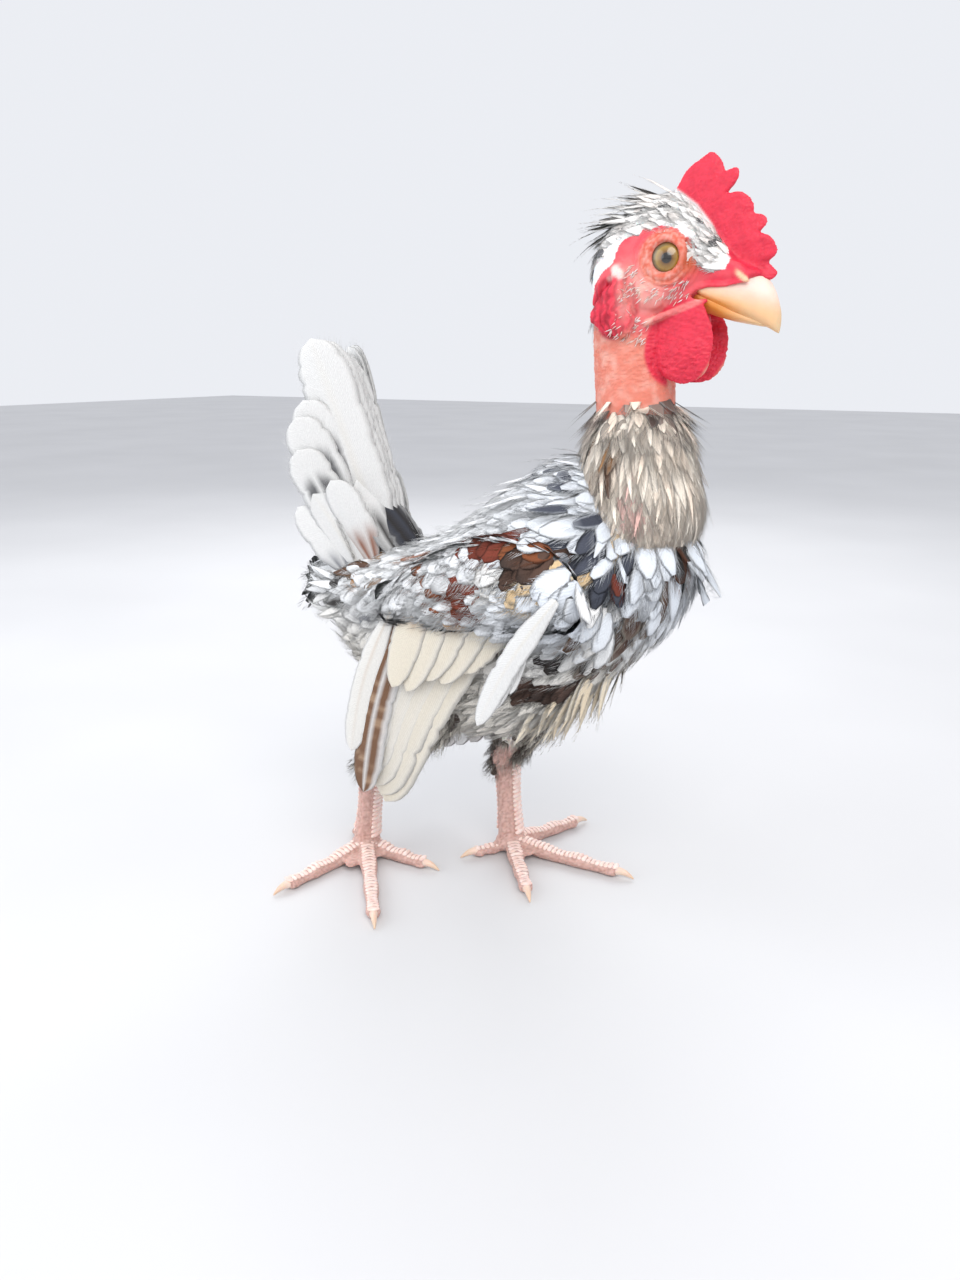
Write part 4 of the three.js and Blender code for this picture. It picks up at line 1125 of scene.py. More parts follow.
def scute_piece():
    paths = [path for leg in LEGS.values() for path in scute_paths(leg)]
    verts, wide, away = (np.concatenate(rows) for rows in zip(*paths))
    ends = np.cumsum([len(path[0]) for path in paths]) - 1
    edges = [(k, k + 1) for k in range(len(verts) - 1) if k not in ends]
    mesh = bpy.data.meshes.new("scutes")
    mesh.from_pydata(placed(verts).tolist(), edges, [])
    hold(mesh, "thick", "FLOAT", "value", wide * MM)
    hold(mesh, "up", "FLOAT_VECTOR", "vector", away)
    obj = linked("scutes", mesh)
    tree = scute_tree()
    laid = obj.modifiers.new("plates", "NODES")
    laid.node_group = tree
    sockets = {item.name: item.identifier for item in tree.interface.items_tree
               if item.in_out == "INPUT"}
    laid[sockets["Spacing"]] = SCUTE_SPACING * MM
    laid[sockets["Skin"]] = LEG
    applied(obj)
    fleck = np.clip(0.35 + 0.9 * bumpy(coords(obj), 1.6, 41), 0, 1)
    flatten_soles(obj)
    paint(obj, mix(LEG_PALE, LEG_PINK, fleck))
    return obj


def flatten_soles(obj):
    """Sets what would sink below the floor flat on it."""
    points = coords(obj)
    points[:, 2] = np.maximum(points[:, 2], 0.0)
    move(obj, points)


def body_skin():
    """The whole skin: body under its coat, neck, head, legs and feet as one surface."""
    cores = [torso.closed(70, 48, -COAT_DEPTH, 0.02, 0.98)]
    for side in (RIGHT, LEFT):
        cores.append(wing_arm(side).closed(40, 24, -1.2, 0.05, 0.95))
        shoulder = [(58, side * 16, 104, 5, 8), (56, side * 26, 104, 4, 8),
                    (54, side * 33, 103, 2.5, 7)]
        cores.append(hose(shoulder, (0, 0, 1)))
    cores += [thigh_form(leg).closed(30, 24, -2.0, 0.05, 0.95) for leg in LEGS.values()]
    cores.append(hose([(-8, 0, 96, 8, 9), (-14, 0, 101, 6, 7), (-17.5, 0, 107, 3.2, 3.6)],
                      (0, 1, 0)))
    body = remeshed("skin", cores, 1.5, 2)
    feet = []
    for leg in LEGS.values():
        feet += [shank_part(leg)] + foot_parts(leg)
    feet += [web_part(LEGS[side], first, second, reach) for side, first, second, reach in WEBS]
    legs = remeshed("leg_skin", feet, 0.62, 2)
    points, normals = coords(legs), normals_of(legs)
    wrinkle = 0.12 * bumpy(points * [1, 1, 2.5], 1.4, 31) + 0.06 * bumpy(points, 0.7, 32)
    move(legs, points + normals * wrinkle[:, None])
    skin = united(body, [legs, head_skin()])
    flatten_soles(skin)
    paint(skin, skin_tint(coords(skin)))
    return skin


# Shaders


def shader(name):
    made = bpy.data.materials.new(name)
    made.use_nodes = True
    made.node_tree.nodes.clear()
    return made


def add(tree, kind, inputs=None, **settings):
    node = tree.nodes.new(kind)
    for key, value in settings.items():
        setattr(node, key, value)
    for key, value in (inputs or {}).items():
        if isinstance(value, bpy.types.NodeSocket):
            tree.links.new(value, node.inputs[key])
        else:
            node.inputs[key].default_value = value
    return node


def grain_group():
    """Fine relief for skin and horn: raises a normal by two sizes of noise."""
    group, given, result = new_group(
        "fine grain", "ShaderNodeTree", {"Size": "Float", "Strength": "Float", "Depth": "Float"},
        {"Normal": "Vector", "Height": "Float"})
    place = add(group, "ShaderNodeTexCoord").outputs["Object"]
    pits = add(group, "ShaderNodeTexVoronoi", {"Vector": place, "Scale": given["Size"]})
    grain = add(group, "ShaderNodeTexNoise",
                {"Vector": place, "Scale": given["Size"], "Detail": 4.0})
    both = calc(group, "ADD", pits.outputs["Distance"], grain.outputs["Fac"])
    bump = add(group, "ShaderNodeBump",
               {"Height": both, "Strength": given["Strength"], "Distance": given["Depth"]})
    group.links.new(bump.outputs["Normal"], result["Normal"])
    group.links.new(both, result["Height"])
    return group


def barb_group():
    """The barbs of a vane: slanting fine lines from the shaft, as a height and a shade."""
    group, given, result = new_group(
        "barbs of a vane", "ShaderNodeTree", {"Lines": "Float"},
        {"Height": "Float", "Shade": "Float"})
    place = add(group, "ShaderNodeUVMap", uv_map="vane").outputs["UV"]

    def noise_at(scale, detail):
        return add(group, "ShaderNodeTexNoise",
                   {"Vector": place, "Scale": scale, "Detail": detail}).outputs["Fac"]

    across, along, _ = add(group, "ShaderNodeSeparateXYZ", {"Vector": place}).outputs
    slant = calc(group, "MULTIPLY_ADD", calc(group, "ABSOLUTE", across), -1.1, along)
    waved = calc(group, "MULTIPLY_ADD", noise_at(4.0, 2.0), 0.12, slant)
    wave = calc(group, "SINE", calc(group, "MULTIPLY", waved, given["Lines"]))
    shade = calc(group, "MULTIPLY_ADD", wave, 0.07, noise_at(14.0, 3.0))
    spread = add(group, "ShaderNodeMapRange", {
        "Value": shade, "From Min": 0.3, "From Max": 0.7, "To Min": 0.955, "To Max": 1.02})
    group.links.new(wave, result["Height"])
    group.links.new(spread.outputs["Result"], result["Shade"])
    return group


GRAIN = grain_group()
BARBS = barb_group()


def finish_shader(made, bsdf):
    add(made.node_tree, "ShaderNodeOutputMaterial", {"Surface": bsdf.outputs[0]})
    return made


def scaled(tree, value, factor):
    return add(tree, "ShaderNodeVectorMath", {0: value, 3: factor}, operation="SCALE").outputs[0]


def tint_of(tree):
    return add(tree, "ShaderNodeAttribute", attribute_name="tint").outputs["Color"]


def feather_shader(name, lines, rough, through, soft):
    """soft is the share of the coat's lie in the shading; through, of light let through."""
    made = shader(name)
    tree = made.node_tree
    barb = add(tree, "ShaderNodeGroup", {"Lines": lines}, node_tree=BARBS).outputs
    shaded = scaled(tree, tint_of(tree), barb["Shade"])
    lie = add(tree, "ShaderNodeAttribute", attribute_name="lie").outputs["Vector"]
    own = add(tree, "ShaderNodeNewGeometry").outputs["Normal"]
    both = add(tree, "ShaderNodeVectorMath",
               {0: scaled(tree, lie, soft), 1: scaled(tree, own, 1 - soft)}, operation="ADD")
    smooth = add(tree, "ShaderNodeVectorMath", {0: both.outputs[0]}, operation="NORMALIZE")
    bump = add(tree, "ShaderNodeBump", {
        "Height": barb["Height"], "Strength": 0.3, "Distance": 0.0001, "Normal": smooth.outputs[0]})
    bsdf = add(tree, "ShaderNodeBsdfPrincipled", {
        "Base Color": shaded, "Normal": bump.outputs["Normal"], "Roughness": rough,
        "Specular IOR Level": 0.25,
        "Sheen Weight": 0.12, "Sheen Roughness": 0.5})
    glow = add(tree, "ShaderNodeBsdfTranslucent", {"Color": shaded})
    return finish_shader(made,
                         add(tree, "ShaderNodeMixShader",
                             {0: through, 1: bsdf.outputs[0], 2: glow.outputs[0]}))


def skin_shader(name, size, depth, rough, coat_weight, soft):
    """soft is the share of light that passes under the skin; size and depth are its grain's."""
    made = shader(name)
    tree = made.node_tree
    grain = add(tree, "ShaderNodeGroup", {"Size": size, "Depth": depth, "Strength": 0.45},
                node_tree=GRAIN).outputs
    shade = add(tree, "ShaderNodeMapRange", {
        "Value": grain["Height"], "From Min": 0.3, "From Max": 1.3, "To Min": 0.95, "To Max": 1.03})
    bsdf = add(tree, "ShaderNodeBsdfPrincipled", {
        "Base Color": scaled(tree, tint_of(tree), shade.outputs["Result"]),
        "Normal": grain["Normal"],
        "Roughness": rough, "Subsurface Weight": soft,
        "Subsurface Radius": (0.0016, 0.0005, 0.0003),
        "Subsurface Scale": 1.0, "Coat Weight": coat_weight, "Coat Roughness": 0.3})
    return finish_shader(made, bsdf)


def ramp(tree, fac, stops):
    node = add(tree, "ShaderNodeValToRGB", {"Fac": fac})
    points = node.color_ramp.elements
    while len(points) < len(stops):
        points.new(0.5)
    for point, (place, value) in zip(points, stops):
        point.position = place
        point.color = (*value, 1)
    return node.outputs["Color"]


# Colours of the eye from its axis outward: share of the distance, linear colour
IRIS = [(0.0, (0.004, 0.003, 0.003)), (0.245, (0.006, 0.004, 0.003)), (0.3, (0.14, 0.06, 0.01)),
        (0.42, (0.24, 0.125, 0.012)), (0.56, (0.31, 0.18, 0.02)), (0.67, (0.13, 0.08, 0.014)),
        (0.8, (0.03, 0.02, 0.01)), (1.0, (0.02, 0.012, 0.008))]


def eye_shader():
    """Iris and pupil drawn by the distance from the eye's axis, held in the map named iris."""
    made = shader("wet eye")
    tree = made.node_tree
    place = add(tree, "ShaderNodeUVMap", uv_map="iris").outputs["UV"]
    apart = add(tree, "ShaderNodeSeparateXYZ", {"Vector": place})
    flecks = add(tree, "ShaderNodeTexNoise", {"Vector": place, "Scale": 26.0, "Detail": 3.0})
    away = calc(tree, "MULTIPLY_ADD", flecks.outputs["Fac"], 0.05, apart.outputs["X"])
    bsdf = add(tree, "ShaderNodeBsdfPrincipled", {
        "Base Color": ramp(tree, away, IRIS), "Roughness": 0.25, "Coat Weight": 1.0,
        "Coat Roughness": 0.04})
    return finish_shader(made, bsdf)


def floor_shader():
    made = shader("pale floor")
    tree = made.node_tree
    place = add(tree, "ShaderNodeTexCoord").outputs["Object"]
    cloud = add(tree, "ShaderNodeTexNoise", {"Vector": place, "Scale": 6.0, "Detail": 2.0})
    tone = ramp(tree, cloud.outputs["Fac"], [(0.3, (0.62, 0.62, 0.63)), (0.7, (0.66, 0.66, 0.67))])
    bsdf = add(tree, "ShaderNodeBsdfPrincipled", {"Base Color": tone, "Roughness": 0.7})
    return finish_shader(made, bsdf)


FEATHER = feather_shader("loose feather", 55.0, 0.8, 0.17, 0.88)
FLIGHT = feather_shader("flight feather", 75.0, 0.7, 0.2, 0.35)
SKIN = skin_shader("bare skin", 900.0, 0.00012, 0.58, 0.05, 0.25)
LEG = skin_shader("scaled leg", 700.0, 0.0002, 0.5, 0.08, 0.15)
HORN = skin_shader("horn", 500.0, 0.00006, 0.38, 0.25, 0.2)
EYE = eye_shader()
FLOOR = floor_shader()

# Flight and tail feathers, each laid out on its own

FLIGHT_ROWS = 44          # stations along a long feather; short ones have fewer
COVERT_ROWS = 24
FLIGHT_ACROSS = 9
FLIGHT_THICK = 0.42
FLIGHT_CAMBER = 0.14
EDGE_SPLITS = 4           # notches in each edge of a long feather
FLIGHT_ACROSS = 9


def bent(root, along, length, bend, rows, back=0):
    """A spine from so far back of a root, leaning over by the vector bend at its tip."""
    s = np.linspace(0, 1, rows)[:, None]
    along = unit(np.array(along, float))
    return np.array(root, float) - along * back + along * length * s + np.array(bend, float) * s**2


def round_ended(s, tip):
    """Share of the full width along a broad feather; tip is the length's share in its round end."""
    rise = np.minimum(1, 0.35 + 0.65 * np.clip(s / 0.3, 0, 1) ** 0.8)
    return rise * np.sqrt(np.clip(1 - np.clip((s - 1 + tip) / tip, 0, 1) ** 2.3, 0.004, 1))


def flight(spine, face, width, seed, pattern, tip, slim=0.0):
    """One broad feather: a closed thin vane with a raised shaft, split here and there at its
    edges, and a soft fringe of barbs past them. face is the way it faces; slim narrows the side
    that leads."""
    draw = np.random.default_rng(seed)
    rows = len(spine)
    s = np.linspace(0, 1, rows)
    along = unit(np.gradient(spine, axis=0))
    face = np.array(face, float)
    normal = unit(face - dot(face, along) * along)
    edges = []
    for lead in (0, 1):
        half = width / 2 * round_ended(s, tip) * (1 - slim * lead)
        for _ in range(EDGE_SPLITS):
            half *= 1 - draw.uniform(0.03,
                                     0.13) * np.exp(-(((s - draw.uniform(0.3, 0.98)) / 0.014) ** 2))
        edges.append(half * (1 + draw.normal(0, 0.012, rows)))
    u = np.linspace(-1, 1, FLIGHT_ACROSS)
    u = np.concatenate([u, u[-2:0:-1]])
    top = np.where(np.arange(len(u)) < FLIGHT_ACROSS, 1, -1)
    half = np.where(u < 0, edges[0][:, None], edges[1][:, None])
    off, s_column = u * half, s[:, None]
    shaft = (0.22 - 0.17 * s_column) * np.exp(-((off / 0.45) ** 2))
    thin = FLIGHT_THICK / 2 * (1 - 0.5 * s_column) * (1 - 0.75 * u**2) + shaft
    wave = 0.03 * np.sin(off * 0.9 + 5 * s_column + seed)
    up = top * thin - FLIGHT_CAMBER * u**2 * half + wave
    across = np.cross(along, normal)[:, None]
    rings = spine[:, None] + across * off[..., None] + normal[:, None] * up[..., None]
    verts, faces = outward(*tube_mesh(rings, spine[[0, -1]] + along[[0, -1]] * [[-0.3], [0.2]]))
    flat = {
        "s": np.concatenate([np.repeat(s, len(u)), [0, 1]]),
        "u": np.concatenate([np.tile(u, rows), [0, 0]]),
        "mm": np.concatenate([off.ravel(), [0, 0]]), "id": np.zeros(len(verts), int),
        "lie": np.concatenate([np.repeat(normal, len(u), axis=0), normal[[0, -1]]]),
    }
    blank, none = np.zeros((1, 3)), np.zeros(1)
    looks = {
        "main": blank, "edge": blank, "tip": blank, "spot": none, "rim": none, "form": torso,
        "pattern": pattern,
        "length": np.array([np.linalg.norm(np.diff(spine, axis=0), axis=1).sum()]),
        "place": place_on_torso(spine[0]), "number": draw.random(1),
    }
    widest = np.array([2 * np.max(edges)])
    fringe = barbs(spine[None], normal[None], widest * 1.03, 90, (edges[0] + edges[1]) / widest[0],
                   0.86, 0.9, 0.1, 0.1, seed + 50)
    return [(verts, faces, flat, looks), (*fringe, looks)]


def place_on_torso(point):
    """Where a feather's root comes on the unwrap of the body's form."""
    t, angle = np.meshgrid(np.linspace(0.02, 0.98, 60), round_steps(48), indexing="ij")
    gap = np.linalg.norm(torso.at(t, angle) - point, axis=-1)
    i = np.unravel_index(np.argmin(gap), gap.shape)
    return unwrapped(t[i], angle[i])[None]


def plain(ground, shaft):
    """A pattern of one ground colour with a faint shaft line and paler edges."""
    def pattern(s, u):
        tint = mix(np.tile(ground, (len(s), 1)), SNOW, step(0.6, 1, np.abs(u)) * 0.6)
        return mix(tint, shaft, (1 - step(0.03, 0.08, np.abs(u))) * (0.5 - 0.4 * s))

    return pattern


def grey_patched(s, u):
    """White, with a dark grey patch on both vanes and a white shaft."""
    tint = np.tile(SNOW, (len(s), 1))
    wide = step(0.24, 0.3, s) * (1 - step(0.72, 0.86, s + 0.1 * np.abs(u)))
    patch = wide * (1 - step(0.5, 0.72, np.abs(u) + 0.04 * np.sin(60 * s)))
    patch = patch * step(0.05, 0.1, np.abs(u))
    return mix(tint, mix(SLATE, SOOT, 0.55), patch * 0.85)


def speckled(s, u):
    """Brown, finely speckled, with a white margin."""
    speck = np.sin(47 * s + 3 * np.sin(11 * u)) * np.sin(13 * u + 29 * s)
    tint = mix(np.tile(colour("86634b"), (len(s), 1)), colour("c3a488"),
               step(0.2, 0.9, speck) * 0.8)
    return mix(tint, SNOW,
               step(0.66, 0.8, np.abs(u)) * (u < 0) + 0.8 * (1 - step(0.02, 0.06, np.abs(u))))


def washed(ground, stain, where=0.5):
    """A ground colour stained towards its root."""
    def pattern(s, u):
        tint = mix(np.tile(ground, (len(s), 1)), stain,
                   (1 - step(where - 0.3, where, s)) * (0.6 + 0.4 * np.sin(17 * u)))
        return mix(tint, SNOW, step(0.7, 1, np.abs(u)) * 0.6)
    return pattern


# Tail feathers of each side, from the middle out: length, how far back the root lies, lean,
# spread, width
TAIL = [(57, 0, 14.5, 3, 13), (60, 0.8, 14, 4.5, 14), (62.5, 1.6, 13.5, 6, 15.5),
        (63.5, 2.4, 13, 8, 16.5),
        (47, 6.6, 16, 11, 14.5), (43, 8.0, 17.5, 13, 14), (34, 9.4, 19, 15, 13)]
TAIL_SUNK = 5             # the roots lie this far inside the body
LEFT_LEAN = 6             # degrees that the left half leans further back
LEFT_SPREAD = 0.7         # the left half's spread, as a share of the right half's
# Short feathers round the tail's root: way each group faces, width, share of the round end, bend,
# depth of roots, then for each feather its root, the way it points, length, seed and pattern
TAIL_COVERTS = [
    ((0.8, 0.6, 0.3), 10, 0.5, (-2, 1, -1), 4, [
        ((-4, 2.6, 102), (-math.sin(math.radians(36)), 0.1, math.cos(math.radians(36))), 28, 180,
         washed(SLATE, SOOT, 0.9)),
        ((-9, 5.6, 102), (-math.sin(math.radians(26)), 0.1, math.cos(math.radians(26))), 28, 185,
         washed(SNOW, SOOT, 0.75)),
    ]),
    ((0.2, 1, 0.15), 11, 0.35, (-2.5, 1, 0), 0, [
        ((-16, 9.5, 98.5), (-0.3, 0.22, 1), 26, 220, washed(SNOW, RUST, 0.5)),
        ((-20.5, 10.7, 96.9), (-0.43, 0.22, 1), 24, 225, plain(SNOW, CREAM)),
        ((-25, 11.9, 95.3), (-0.56, 0.22, 1), 22, 230, washed(SNOW, ASH, 0.4)),
    ]),
    ((-1, 0.35, 0.2), 10, 0.45, (-2, 1, 0), 0, [
        ((-18.5, 1.8, 96), (-0.2, 0.1, 1), 27, 260, washed(SNOW, ASH, 0.5)),
        ((-20.3, 4.8, 95.2), (-0.24, 0.1, 1), 24, 265, plain(SNOW, CREAM)),
        ((-22.1, 7.8, 94.4), (-0.28, 0.1, 1), 21, 270, plain(SNOW, CREAM)),
    ]),
]


def tail_feathers():
    groups = []
    for side in (RIGHT, LEFT):
        left, mirror = side == LEFT, np.array([1, side, 1])
        for i, (length, back, lean, spread, width) in enumerate(TAIL):
            lean = math.radians(lean + LEFT_LEAN * left)
            spread = math.radians(spread * (LEFT_SPREAD if left else 1))
            turn = math.radians(76 - 2.5 * i)
            along = mirror * [-math.sin(lean), math.sin(spread), math.cos(lean)]
            root = mirror * [-13.5 - back, 1 + 1.4 * i, 103.5 - 0.5 * i]
            spine = bent(root, along, length + TAIL_SUNK, mirror * [-1.2, 1.5, 0], FLIGHT_ROWS,
                         TAIL_SUNK)
            pattern = grey_patched if i > (4 if left else 3) else plain(SNOW, CREAM)
            face = mirror * [math.cos(turn), math.sin(turn), 0]
            groups += flight(spine, face, width, 100 + 10 * i + side, pattern, 0.2)
        for face, width, tip, bend, back, feathers in TAIL_COVERTS:
            for root, way, length, seed, pattern in feathers:
                spine = bent(mirror * root, mirror * way, length, mirror * bend, COVERT_ROWS, back)
                groups += flight(spine, mirror * face, width, seed + side, pattern, tip)
    return feather_piece("tail_feathers", groups, FLIGHT, ["tail"])


# Tips of the flight feathers of each wing: x, z, width
REMIGES = {
    RIGHT: [(-2.5, 28, 13), (-3, 30.5, 13), (-4, 34, 12), (-5, 38.5, 12), (-5.5, 43, 12),
            (-7, 32, 10), (-9, 46, 7.5)],
    LEFT: [(9, 34, 13), (3, 31, 13), (-3, 28.5, 12), (-9, 26, 12), (-14.5, 24, 12), (-19.5, 22, 11),
           (-23, 28, 9)],
}
SPECKLED_FEATHER = 5      # on the right wing only


def wing_spine(side, root, tip, level, rows, bow=0.0):
    """A spine on the wing's face: x and z run from root to tip, y follows the wing's curve."""
    s = np.linspace(0, 1, rows)[:, None]
    run = np.array(tip, float) - root
    way = unit(run)
    flat = np.array(root, float) + run * s + np.array([-way[1], way[0]]) * bow * np.sin(np.pi * s)
    below = np.clip((88 - flat[:, 1]) / 60, 0, 2)
    return np.stack([flat[:, 0], side * (WING_FACE + level - 4 * below**2), flat[:, 1]], 1)


def wing_feathers(side):
    """The flight feathers, the coverts over their roots, and the short feathers of the thumb."""
    groups = []
    cream = colour("f6eedd")
    for k, (x, z, width) in enumerate(REMIGES[side]):
        spine = wing_spine(side, mix(np.array([38, 95]), (8, 91), k / 6), (x, z), 1.1 + 0.86 * k,
                           FLIGHT_ROWS, -2.0)
        pattern = plain(mix(cream, SNOW, k / 8), mix(TAN, CREAM, 0.5))
        if side == LEFT:
            pattern = washed(mix(SNOW, ASH, 0.25), UMBER,
                             0.9) if k % 2 else plain(mix(SNOW, UMBER, 0.35), CREAM)
        elif k == SPECKLED_FEATHER:
            pattern = speckled
        groups += flight(spine, (0.16, side, 0.1), width, 300 + 10 * k + side, pattern, 0.22,
                         slim=0.1)
    for k in range(5):
        root = mix(np.array([46, 101]), (11, 97), k / 5)
        tip = root + (30 + 2.5 * (k % 2)) * level_way(236 + 18 * k / 5)[:2]
        spine = wing_spine(side, root, tip, 3.0 + 0.95 * k, 28)
        pattern = plain(cream, CREAM) if k % 4 else washed(cream, TAN, 0.45)
        groups += flight(spine, (0, side, 0), 10, 400 + 10 * k + side, pattern, 0.55)
    for k in range(3):
        spine = wing_spine(side, (59 - 1.5 * k, 101), (36.5 + 4.5 * k, 64 + 5 * k), 8.6 - k, 32,
                           -1.5)
        groups += flight(spine, (0.2, side, 0.1), 6.4 - k, 460 + 10 * k + side, plain(SNOW, CREAM),
                         0.4)
    name = "wing_" + ("right" if side == RIGHT else "left")
    return feather_piece(name + "_feathers", groups, FLIGHT, [name])


# The coat


def back_flow(p):
    """Lie of the feathers of the body: back along the back and sides, down on the breast."""
    front = step(48, 78, p[:, 0])[:, None]
    way = mix(np.array([-1.0, 0, -0.32]), np.array([-0.35, 0, -1.0]), front)
    low = (1 - step(58, 80, p[:, 2]))[:, None]
    way = mix(way, np.array([-1.0, 0, -0.25]), low * (1 - 0.5 * front))
    behind = (1 - step(-26, -8, p[:, 0]))[:, None]
    way = mix(way, np.array([-0.9, 0, 0.25]), behind * step(84, 92, p[:, 2])[:, None])
    way[:, 1] += 0.12 * np.sign(p[:, 1]) * (1 - front[:, 0])
    return way


def down_flow(p):
    return np.tile([0.02, 0.0, -1.0], (len(p), 1))


def hanging_flow(p):
    return np.tile([-0.45, 0.0, -1.0], (len(p), 1))


def wing_flow(p):
    return np.tile([-0.78, 0.0, -0.62], (len(p), 1))


def cap_flow(p):
    back = from_head([-1, 0, 0.12]) - HEAD_AT
    way = np.tile(back, (len(p), 1))
    way[:, 1] += 0.35 * np.sign(p[:, 1]) * step(0, 10, HEAD_AT[2] + 16 - p[:, 2])
    return way


def beside_mantle(x, y, z):
    under_mantle = (z > 99) & (x > -12) & (x < 62)
    under_ruff = (np.hypot(x - 64, y) < 12) & (z > 110)
    under_wing = (np.abs(y) > 22) & (z > 80) & (x > 10) & (x < 50)
    return ~(under_mantle | under_ruff | under_wing)


def body_coat(front):
    """The coat ahead of the middle of the body, or behind it."""
    return coat(
        torso, lambda x, y, z: beside_mantle(x, y, z) & ((x > 40) == front), back_flow, 1500,
        lambda x, y, z: 13 + 5 * step(50, 70, x) + 3 * (1 - step(-30, -10, x)), 7.0, 2.4,
        lambda x, y, z: 0.5 + 1.2 * (1 - step(66, 84, z)) + 0.5 * step(66, 80, x), 11, rows=7,
        fray=14)


def mantle_coat(side):
    """Flat feathers over one half of the back, and wisps standing up between them."""
    def half(x, y, z):
        return (z > 93) & (x < 70) & ((y > 0) == (side > 0))

    flat = coat(mantle, half, back_flow, 1500, 15, 6.8, 2.0, 0.35, 21, rows=7, fray=16)
    wisps = coat(mantle, lambda x, y, z: half(x, y, z) & (z > 106) & (x > -8), back_flow, 260, 15,
                 4.2, 1.2, 2.4, 23,
                 outline=LANCE, body=0.7, fray=8, inner=0.4, stray=0.15, hook=1.4, slope=3)
    return flat + wisps


def down_coat():
    """Loose fluff low on the belly, the breast and behind."""
    return coat(torso, lambda x, y, z: (z < 74) | (x < -16) & (z < 100), back_flow, 800, 14, 6.0,
                1.8, 1.6, 31, outline=LANCE, body=0.85, fray=10, inner=0.55, stray=0.2, slope=2.4)


def pale_marks(p, draw):
    n = len(p)
    main = mix(colour("fbf1dc"), BUFF, draw.random(n) * 0.5)
    return main, np.tile(SNOW, (n, 1)), np.tile(TAN, (n, 1)), np.zeros(n)


def tuft_coat():
    """The pale tuft under the breast and the locks behind."""
    tuft = coat(torso, lambda x, y, z: (x > 44) & (x < 64) & (z < 78) & (np.abs(y) < 16),
                hanging_flow, 2400, 18, 5,
                1.5, 6, 41, rows=8, outline=LANCE, body=0.6, fray=10, inner=0.3, mark=pale_marks,
                stray=0.2, hook=1.4)
    locks = coat(torso, lambda x, y, z: (x < -24) & (z > 78), back_flow, 3000, 14, 5.5, 1.5, 4.5,
                 43, rows=7, outline=LANCE, body=0.5, fray=10, inner=0.3, slope=1.6)
    return tuft + locks


# Where bare skin shows between the feathers at the sides of the ruff: x, z, reach
RUFF_GAPS = ((66.5, 123, 2.6), (70.3, 117, 3.2))


def ruff_marks(p, draw):
    """Cream, with a brown upper edge, a brown patch and gaps in the colour of the skin."""
    n = len(p)
    x, y, z = p.T
    height = z + draw.normal(0, 1.6, n)
    main = mix(colour("fff6e8"), colour("f9e4d0"), draw.random(n) * 0.7)
    brown = step(136, 141, height) * (draw.random(n) < 0.6)
    main = mix(main, mix(colour("a8948a"), colour("4e3f39"), draw.random(n)), brown)
    patch = (((x - 62) / 6) ** 2 + ((z - 126) / 4.5) ** 2 < 1) & (draw.random(n) < 0.7)
    main = np.where(patch[:, None], mix(UMBER, TAN, draw.random(n) * 0.7), main)
    for gap_x, gap_z, reach in RUFF_GAPS:
        bare = (np.hypot(x - gap_x, z - gap_z) < reach) & (np.abs(y) > 8) & (draw.random(n) < 0.7)
        main = np.where(bare[:, None], colour("f0c6bc"), main)
    return main, mix(main, SNOW, 0.4), np.tile(SOOT, (n, 1)), np.where(draw.random(n) < 0.06, 0.6,
                                                                       0)


def ruff_coat():
    def layer(count, width, lift, seed, body, **fluff):
        return coat(
            ruff, lambda x, y, z: z < 149 + 2.5 * np.sin(2.3 * y), down_flow, count,
            lambda x, y, z: 16 - 9 * step(134, 145, z), width, lambda x, y,
            z: 1.4 + 2.6 * step(141, 149, z), lift, seed,
            rows=7, outline=LANCE, body=body, mark=ruff_marks, first=0.2, fine=0.15, **fluff)

    vane = layer(760, 6.4, 0.1, 51, 0.6, fray=15, inner=0.35, stray=0.02, slope=3.6, camber=0.02)
    loose = layer(170, 4.0, 1.2, 53, 0.4, fray=12, inner=0.2, stray=0.08, slope=3.4, camber=0.03)
    return vane + loose


# Lower edge of the feathered cap at the side of the head, in the head's frame: x, z
CAP_EDGE = [(-13.3, -7.7), (-12.8, -4.1), (-11.4, -0.9), (-7.5, 2.9), (-3.7, 6.4), (0.4, 8.2),
            (5, 8.3), (9.9, 6.0),
            (12.8, 3.6), (18.5, 1.8)]


def above_cap_edge(p, spare=0.0):
    """Where the head is feathered, down to spare below the cap's edge."""
    local, x, z, side = head_sides(p)
    low = np.interp(x, *np.transpose(CAP_EDGE), left=-9.5)
    under_comb = (comb_mask(local) > 0.3) & (side < 1.5)
    return (z > low - spare) & ~under_comb & (x < 18.5 + spare)


def cap_marks(p, draw):
    """White, darker low at the nape, with two dark flecks above and ahead of the eye."""
    _, x, z, _ = head_sides(p)
    n = len(p)
    main = mix(SNOW, colour("f6eee8"), draw.random(n))
    dark = draw.random(n) < 0.02 + 0.16 * (1 - step(-8, -4, x)) * (1 - step(2, 8, z))
    for fleck_x, fleck_z in ((6.5, 13.4), (12.2, 8.4)):
        dark |= np.hypot(x - fleck_x, z - fleck_z) < draw.uniform(0.4, 1.5, n)
    main = np.where(dark[:, None], mix(SOOT, ASH, draw.random(n) * 0.5), main)
    return main, mix(main, SNOW, 0.5), np.tile(SOOT, (n, 1)), np.where(draw.random(n) < 0.04, 0.8,
                                                                       0.0)


